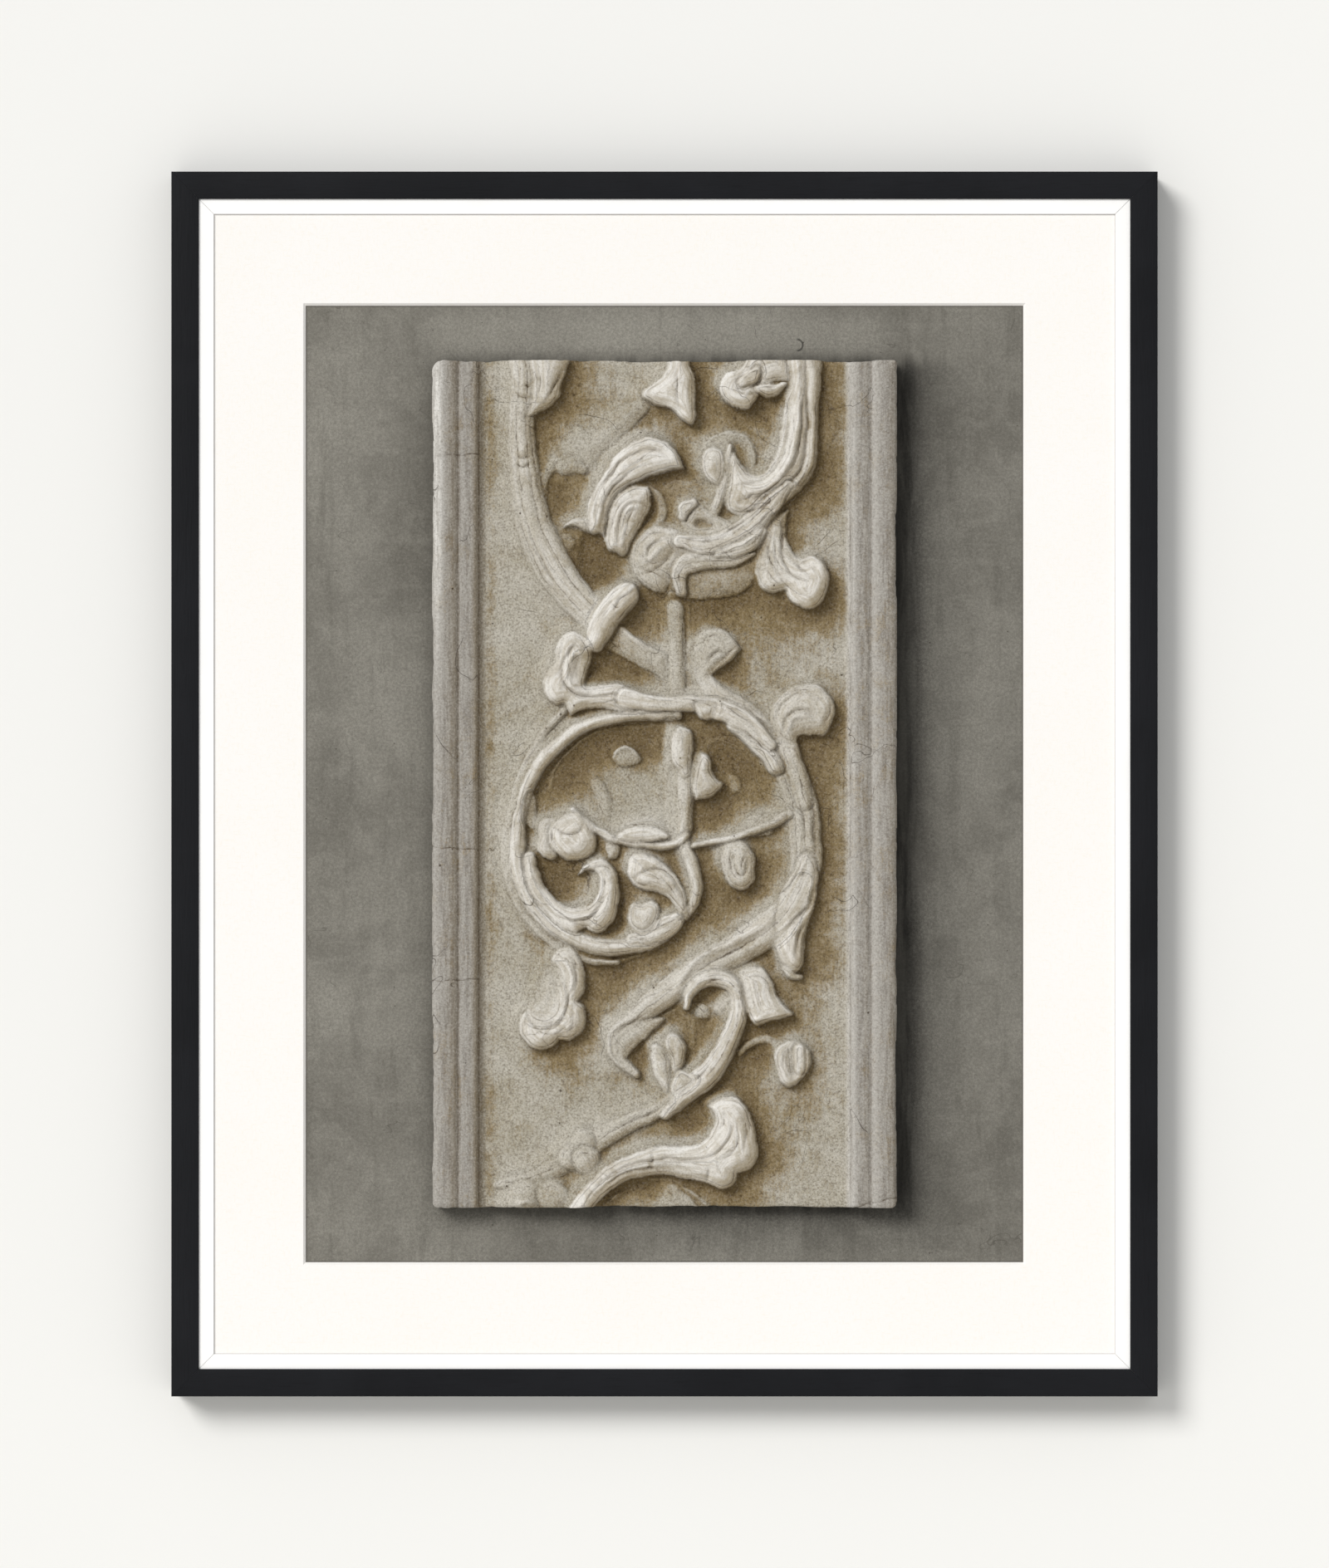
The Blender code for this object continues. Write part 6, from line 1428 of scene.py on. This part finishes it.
def panelMesh():
    # Grid of the face, a wall round its rim down to the back, and one face over the back
    x, z, fromSide, fromEnd, face, carved, places = panelSurface()
    masks = patinaAndLightMasks(x, z, face, carved)
    strokes = (strokesAlong(places["acrossForm"], places["alongForm"], 1.5, 14.0, 21)
               + strokesAlong(places["acrossForm"], places["alongForm"], 3.4, 26.0, 22))
    overSlope = (fromSide - relief["rollWidth"] - relief["bandWidth"]) / relief["slopeWidth"]
    masks["moulding"] = 1 - smoothStep(overSlope)
    brownStrip = 0.3 * np.exp(-((fromSide - relief["brownStripAt"]) / relief["stripWidth"]) ** 2) * (x < 0)
    masks["patinaAndShadow"] = masks["patinaAndShadow"] + brownStrip
    # A painted highlight down the left roll's rounded edge, stronger higher up
    rollHighlight = 1.6 * np.exp(-((fromSide - relief["rollHighlightAt"]) / relief["stripWidth"]) ** 2) * (x < 0)
    rollHighlight = rollHighlight * smoothStep((z - 20) / 170)
    # Painted highlight on the mouldings' slopes that face left, towards the light, and painted shade on those
    # that face right
    leaning = np.gradient(blurred(face, 1.5), relief["pitch"], axis=1) * masks["moulding"]
    masks["rubbedCrestHighlight"] = np.maximum(masks["rubbedCrestHighlight"], np.clip(1.3 * leaning, 0, 1) + rollHighlight)
    masks["shade"] = np.maximum(masks["shade"], np.clip(-1.2 * leaning, 0, 1))
    masks["falling"] = masks["falling"] * (0.35 + 0.65 * smoothStep(places["fromEdge"] / 4))
    masks.update({name: field / 1000 for name, field in places.items()})
    marked = masks["raised"] * (1 - masks["moulding"])
    worn = relief["wornEdge"] * np.exp(-np.minimum(fromSide, fromEnd) / relief["wornEdge"])
    grit = relief["grit"] * (roughness(x.shape, 1.2, 3) * 0.5 + roughness(x.shape, 5.0, 4))
    grit = grit + relief["toolMarks"] * strokes * (0.15 + 0.85 * marked)
    depth = (relief["groundThickness"] + face + grit - worn) / 1000
    wander = relief["rimWander"] * (smoothStep(0.4 + 0.35 * roughness(x.shape, 13.0, 5))
                                    + 0.5 * smoothStep(0.7 * roughness(x.shape, 2.2, 6) - 0.6))
    held = np.exp(-np.minimum(fromSide, fromEnd) / 2.5) * wander
    width, height = 2 * x[0, -1], 2 * z[-1, 0]
    inX = x - np.sign(x) * held * (fromSide < fromEnd + 3)
    inZ = z - np.sign(z) * held * (fromEnd < fromSide + 3)
    for right, up, radius in relief["wornCorners"]:
        # The corner's square (a, b) is drawn in to a quarter disc (a sqrt(1 - b b / 2), b sqrt(1 - a a / 2))
        a = np.clip(1 - (width / 2 - right * x) / radius, 0, 1)
        b = np.clip(1 - (height / 2 - up * z) / radius, 0, 1)
        inX = inX - right * radius * a * (1 - np.sqrt(1 - b * b / 2))
        inZ = inZ - up * radius * b * (1 - np.sqrt(1 - a * a / 2))
    points = np.stack([panelMiddle[0] + inX / 1000, panelHigh[1] - depth, panelMiddle[2] + inZ / 1000], -1)
    rows, columns = x.shape
    number = np.arange(rows * columns).reshape(rows, columns)
    rim = np.concatenate([number[0, :-1], number[:-1, -1], number[-1, :0:-1], number[:0:-1, 0]])
    points = points.reshape(-1, 3)
    back = points[rim]
    back[:, 1] = panelHigh[1]
    low = np.arange(len(rim)) + len(points)
    walls = np.stack([rim, low, np.roll(low, -1), np.roll(rim, -1)], 1)
    quads = np.vstack([gridQuads(rows, columns), walls])
    mesh = meshFrom("carved_panel", np.vstack([points, back]), quads)
    for name, field in masks.items():
        values = np.concatenate([field.ravel(), np.zeros(len(rim))])
        mesh.attributes.new(name, "FLOAT", "POINT").data.foreach_set("value", values.astype(np.float32))
    closeEnds(mesh)
    mesh.shade_smooth()
    return mesh


def plasterLines(tree, fromEdge, fromLine, shade, raised, cloud, small):
    # Dark lines in the grooves, beside the forms' edges, and a little inside those edges, all of them broken;
    # the lines beside the edges are also painted shade, strongest on sides that fall away from the light
    broken = ranged(tree, small, 0.2, 0.7, 0.45, 1.0)
    edgeLineAndShade = multiply(tree, ranged(tree, fromEdge, 0.0002, 0.0009, 1.0, 0.0), scaled(tree, shade, 0.5, 0.12))
    fromInner = maths(tree, "ABSOLUTE", maths(tree, "SUBTRACT", fromEdge, plaster["innerLine"]))
    inner = multiply(tree, ranged(tree, fromInner, 0.0001, 0.0005, 0.65, 0.0),
                     multiply(tree, raised, ranged(tree, cloud, 0.35, 0.6)))
    drawn = maths(tree, "MAXIMUM", ranged(tree, fromLine, 0.0001, 0.0007, 0.85, 0.0), inner)
    drawn = multiply(tree, drawn, broken)
    drawn = maths(tree, "MAXIMUM", multiply(tree, edgeLineAndShade, broken), drawn)
    return drawn, inner


def plasterSand(tree, here, raised, moulding, uneven, sand):
    # Speckles and grains, strongest on the low ground, and sandy is how rough a place is
    stipple = noise(tree, here, plaster["stippleScale"], 4.0, 0.8)
    low = maths(tree, "SUBTRACT", 1.0, raised)
    speckled = multiply(tree, ranged(tree, stipple, 0.5, 0.66),
                        scaled(tree, uneven, 0.65, scaled(tree, low, 0.14, 0.06)))
    sandy = multiply(tree, scaled(tree, low, 0.65, 0.35), scaled(tree, moulding, -0.4, 1.0))
    darkSand = multiply(tree, ranged(tree, sand, 0.0, 0.6, 0.38, 0.0), sandy)
    grains = noise(tree, here, plaster["grainScale"], 3.0, 0.7)
    darkGrains = multiply(tree, ranged(tree, grains, 0.5, 0.66, 0.0, 0.4), sandy)
    paleGrains = multiply(tree, ranged(tree, grains, 0.36, 0.5, 0.32, 0.0), sandy)
    paleGrains = multiply(tree, paleGrains, ranged(tree, uneven, 0.05, 0.6, 1.0, 0.35))
    return speckled, darkSand, darkGrains, paleGrains, sandy


def oldPlaster():
    # Off-white plaster with a brown wash left in its low places, deepened by painted shadow down and right of
    # the forms, with painted shade in crevices and on sides that fall away from the light, and painted
    # highlights on crests that face the light, some rubbed clean: speckled and sandy on the ground, streaked
    # along the forms and down the mouldings, with pits and hairline cracks
    finish, tree, shader = newMaterial("old_plaster", 0.85, 0.25)
    here = place(tree)
    names = ("patinaAndShadow", "creviceShade", "raised", "rubbedCrestHighlight", "shade", "falling", "moulding", "acrossForm",
             "alongForm", "fromEdge", "fromLine")
    patinaAndShadow, creviceShade, raised, rubbedCrestHighlight, shade, falling, moulding, acrossForm, alongForm, fromEdge, fromLine = (
        addNode(tree, "Attribute", attribute_name=name).outputs["Fac"] for name in names)
    spot = addNode(tree, "CombineXYZ", {"X": multiply(tree, acrossForm, plaster["strokesAcross"]),
                                        "Y": multiply(tree, alongForm, plaster["strokesAlong"])}).outputs[0]
    strokes = ranged(tree, noise(tree, spot, 1.0, 3.5, 0.55), 0.3, 0.7)
    cloud = useGroup(tree, wash, {"Vector": here, "Size": 0.045, "Contrast": 0.28})["Mask"]
    small = useGroup(tree, wash, {"Vector": here, "Size": 0.009, "Contrast": 0.3})["Mask"]
    sand = useGroup(tree, grain, {"Vector": here, "Size": 0.0012, "Roughness": 0.8})
    holes = useGroup(tree, pits, {"Vector": here, "Spacing": 0.0085, "Share": 0.26, "Width": 0.12})["Mask"]
    cracks = useGroup(tree, hairs, {"Vector": here, "Size": 0.05, "Width": 0.003, "Share": 0.45})["Mask"]

    ground = coat(tree, cloud, screenColour(plaster["ground"]), plaster["groundDull"])
    forms = coats(tree, screenColour(plaster["formDull"]), plaster, [
        (ranged(tree, strokes, 0.05, 0.75), "form"),
        (ranged(tree, small, 0.5, 0.9, 0.0, 0.6), "formStain")])
    tone = mixColour(tree, raised, ground, forms)
    sides = coat(tree, ranged(tree, strokes, 0.1, 1.0, 0.2, 0.8), screenColour(plaster["moulding"]),
                 plaster["mouldingDull"])
    tone = mixColour(tree, moulding, tone, sides)

    uneven = patinaAndShadow
    for drift, strength in ((small, 0.38), (cloud, 0.34), (sand["Mask"], 0.3), (strokes, 0.16)):
        uneven = scaled(tree, maths(tree, "SUBTRACT", drift, 0.5), strength, uneven)
    shaded = multiply(tree, shade, scaled(tree, moulding, -0.1, 0.5))
    drawn, inner = plasterLines(tree, fromEdge, fromLine, shade, raised, cloud, small)
    # Painted highlight on crests that face the light, and on the forms rubbed cleaner; weaker on the
    # mouldings
    rubbedAndPaintedLight = multiply(tree, rubbedCrestHighlight, ranged(tree, strokes, 0.0, 1.0, 0.3, 0.9))
    rubbedAndPaintedLight = multiply(tree, rubbedAndPaintedLight, scaled(tree, moulding, -0.4, 0.9))

    speckled, darkSand, darkGrains, paleGrains, sandy = plasterSand(tree, here, raised, moulding, uneven,
                                                                    sand["Mask"])
    # Brown and deep brown are patina and painted shadow; the formShade, shaded and crevice coats are painted
    # shade; the crest coat is painted highlight with rubbed-clean wear
    tone = coats(tree, tone, plaster, [
        (ranged(tree, uneven, 0.04, 0.66, 0.0, 0.86), "brown"),
        (ranged(tree, uneven, 0.46, 1.15, 0.0, 0.68), "deepBrown"),
        (falling, "formShade"),
        (shaded, "brown"),
        (multiply(tree, creviceShade, 0.32), "umber"),
        (drawn, "umber"),
        (rubbedAndPaintedLight, "rubbedCrestHighlight"),
        (maths(tree, "MINIMUM", speckled, 0.7), "umber"),
        (darkGrains, "umber"),
        (paleGrains, "form"),
        (darkSand, "umber"),
        (multiply(tree, holes, 0.8), "umber"),
        (multiply(tree, cracks, 0.5), "umber")])
    tree.links.new(tone, shader.inputs["Base Color"])
    tree.links.new(ranged(tree, sand["Mask"], 0.0, 1.0, 0.78, 0.95), shader.inputs["Roughness"])
    height = scaled(tree, maths(tree, "ADD", holes, cracks), -1.0, multiply(tree, sand["Height"], sandy))
    height = scaled(tree, strokes, scaled(tree, raised, 0.3, 0.1), height)
    height = scaled(tree, inner, -0.7, height)
    addBump(tree, shader, scaled(tree, small, 0.5, height), plaster["bumpDepth"])
    return finish


plaster = {
    "innerLine": 0.0027,          # m inside a form's edge, where a second line is drawn
    "strokesAcross": 430.0,       # streaks to a metre across a form
    "strokesAlong": 36.0,         # and along it
    "stippleScale": 380.0,        # speckles to a metre
    "grainScale": 740.0,          # grains to a metre
    "bumpDepth": 0.0006,          # m
    "ground": (197, 192, 180),
    "groundDull": (174, 167, 149),
    "form": (221, 217, 210),
    "formDull": (194, 187, 174),
    "formStain": (174, 165, 146),
    "formShade": (146, 134, 110),
    # painted highlight on crests that face the light, and crests rubbed clean
    "rubbedCrestHighlight": (240, 238, 233),
    "moulding": (171, 167, 160),
    "mouldingDull": (134, 129, 122),
    "brown": (140, 119, 76),
    "deepBrown": (100, 82, 52),
    "umber": (70, 54, 32),
    # Forms that are less rubbed than the others: mm right of and over the middle, radius, and share
    "dullForms": [
        (84, 2, 20, 0.6), (92, -30, 20, 0.6), (10, 90, 20, 0.6), (90, 45, 20, 0.4), (38, 82, 18, 0.5),
        (34, 132, 22, 0.45), (-64, 192, 20, 0.5), (-18, -156, 20, 0.4), (-54, -234, 14, 0.6),
        (-80, -262, 16, 0.8), (8, 44, 16, 0.5), (12, -12, 18, 0.45), (46, -50, 14, 0.35),
        (-8, 140, 18, 0.35), (0, 175, 12, 0.5), (36, 176, 12, 0.3), (60, -28, 12, 0.5),
        (-96, 236, 24, 0.3), (-84, 176, 20, 0.35), (48, 30, 12, 0.5), (70, 150, 14, 0.4),
        (92, 186, 14, 0.4), (24, -110, 20, 0.35), (-38, -12, 12, 0.4), (0, -258, 22, 0.7),
    ],
    # Forms that are rubbed cleaner than the others
    "cleanForms": [
        (0, 203, 16, 0.55), (16, -240, 16, 0.45), (32, -238, 10, 0.4), (-54, 18, 12, 0.4),
        (68, 156, 10, 0.45), (-68, -88, 10, 0.35), (-20, 196, 10, 0.35), (40, 232, 12, 0.4),
        (4, 240, 10, 0.45), (-8, -26, 10, 0.45),
    ],
    # Pools of brown in shut-in ground
    "brownPools": [
        (104, 60, 40, 0.22), (108, -60, 40, 0.2), (-60, -214, 26, -0.1), (-92, 120, 30, -0.08),
        (-44, 140, 16, 0.85), (-62, 182, 16, 0.3), (4, 183, 14, 0.45), (24, 164, 6, 0.5),
        (54, 236, 18, 0.35), (48, 205, 9, 0.3), (-26, 236, 26, 0.22), (32, 126, 18, 0.4),
        (50, 132, 10, 0.4), (30, 106, 26, 0.25), (78, 104, 24, 0.3), (104, 186, 16, 0.3),
        (-32, 80, 13, 0.35), (-14, 108, 14, 0.25), (42, 72, 10, 0.45), (94, 22, 11, 0.4),
        (108, 4, 16, 0.25), (-61, 6, 13, 0.85), (-47, 23, 14, 0.8), (-28, 29, 11, 0.5),
        (-8, 24, 13, 0.75), (-38, 155, 5, 0.9), (-46, -4, 10, 0.3), (36, 20, 12, 0.7), (50, 6, 12, 0.6),
        (34, -16, 11, 0.6), (62, -8, 8, 0.3), (-80, -50, 9, 0.6), (-68, -64, 12, 0.6),
        (-26, -74, 10, 0.5), (30, -62, 15, 0.35), (60, -58, 13, 0.35), (46, -84, 14, 0.3),
        (-30, -120, 20, 0.35), (2, -118, 16, 0.25), (102, -118, 18, 0.25), (26, -156, 13, 0.35),
        (-14, -172, 9, 0.5), (62, -168, 14, 0.35), (46, -192, 18, 0.35), (16, -216, 17, 0.3),
        (76, -236, 14, 0.2), (-62, -190, 16, 0.15), (90, -206, 18, 0.2),
    ],
}
panel = showPiece("carved_panel", panelMesh(), oldPlaster(), "plaster", "relief_panel")
fewer = panel.modifiers.new("fewer_triangles", "DECIMATE")
fewer.ratio = relief["triangles"] / (2.0 * len(panel.data.polygons))
print("relief carved")
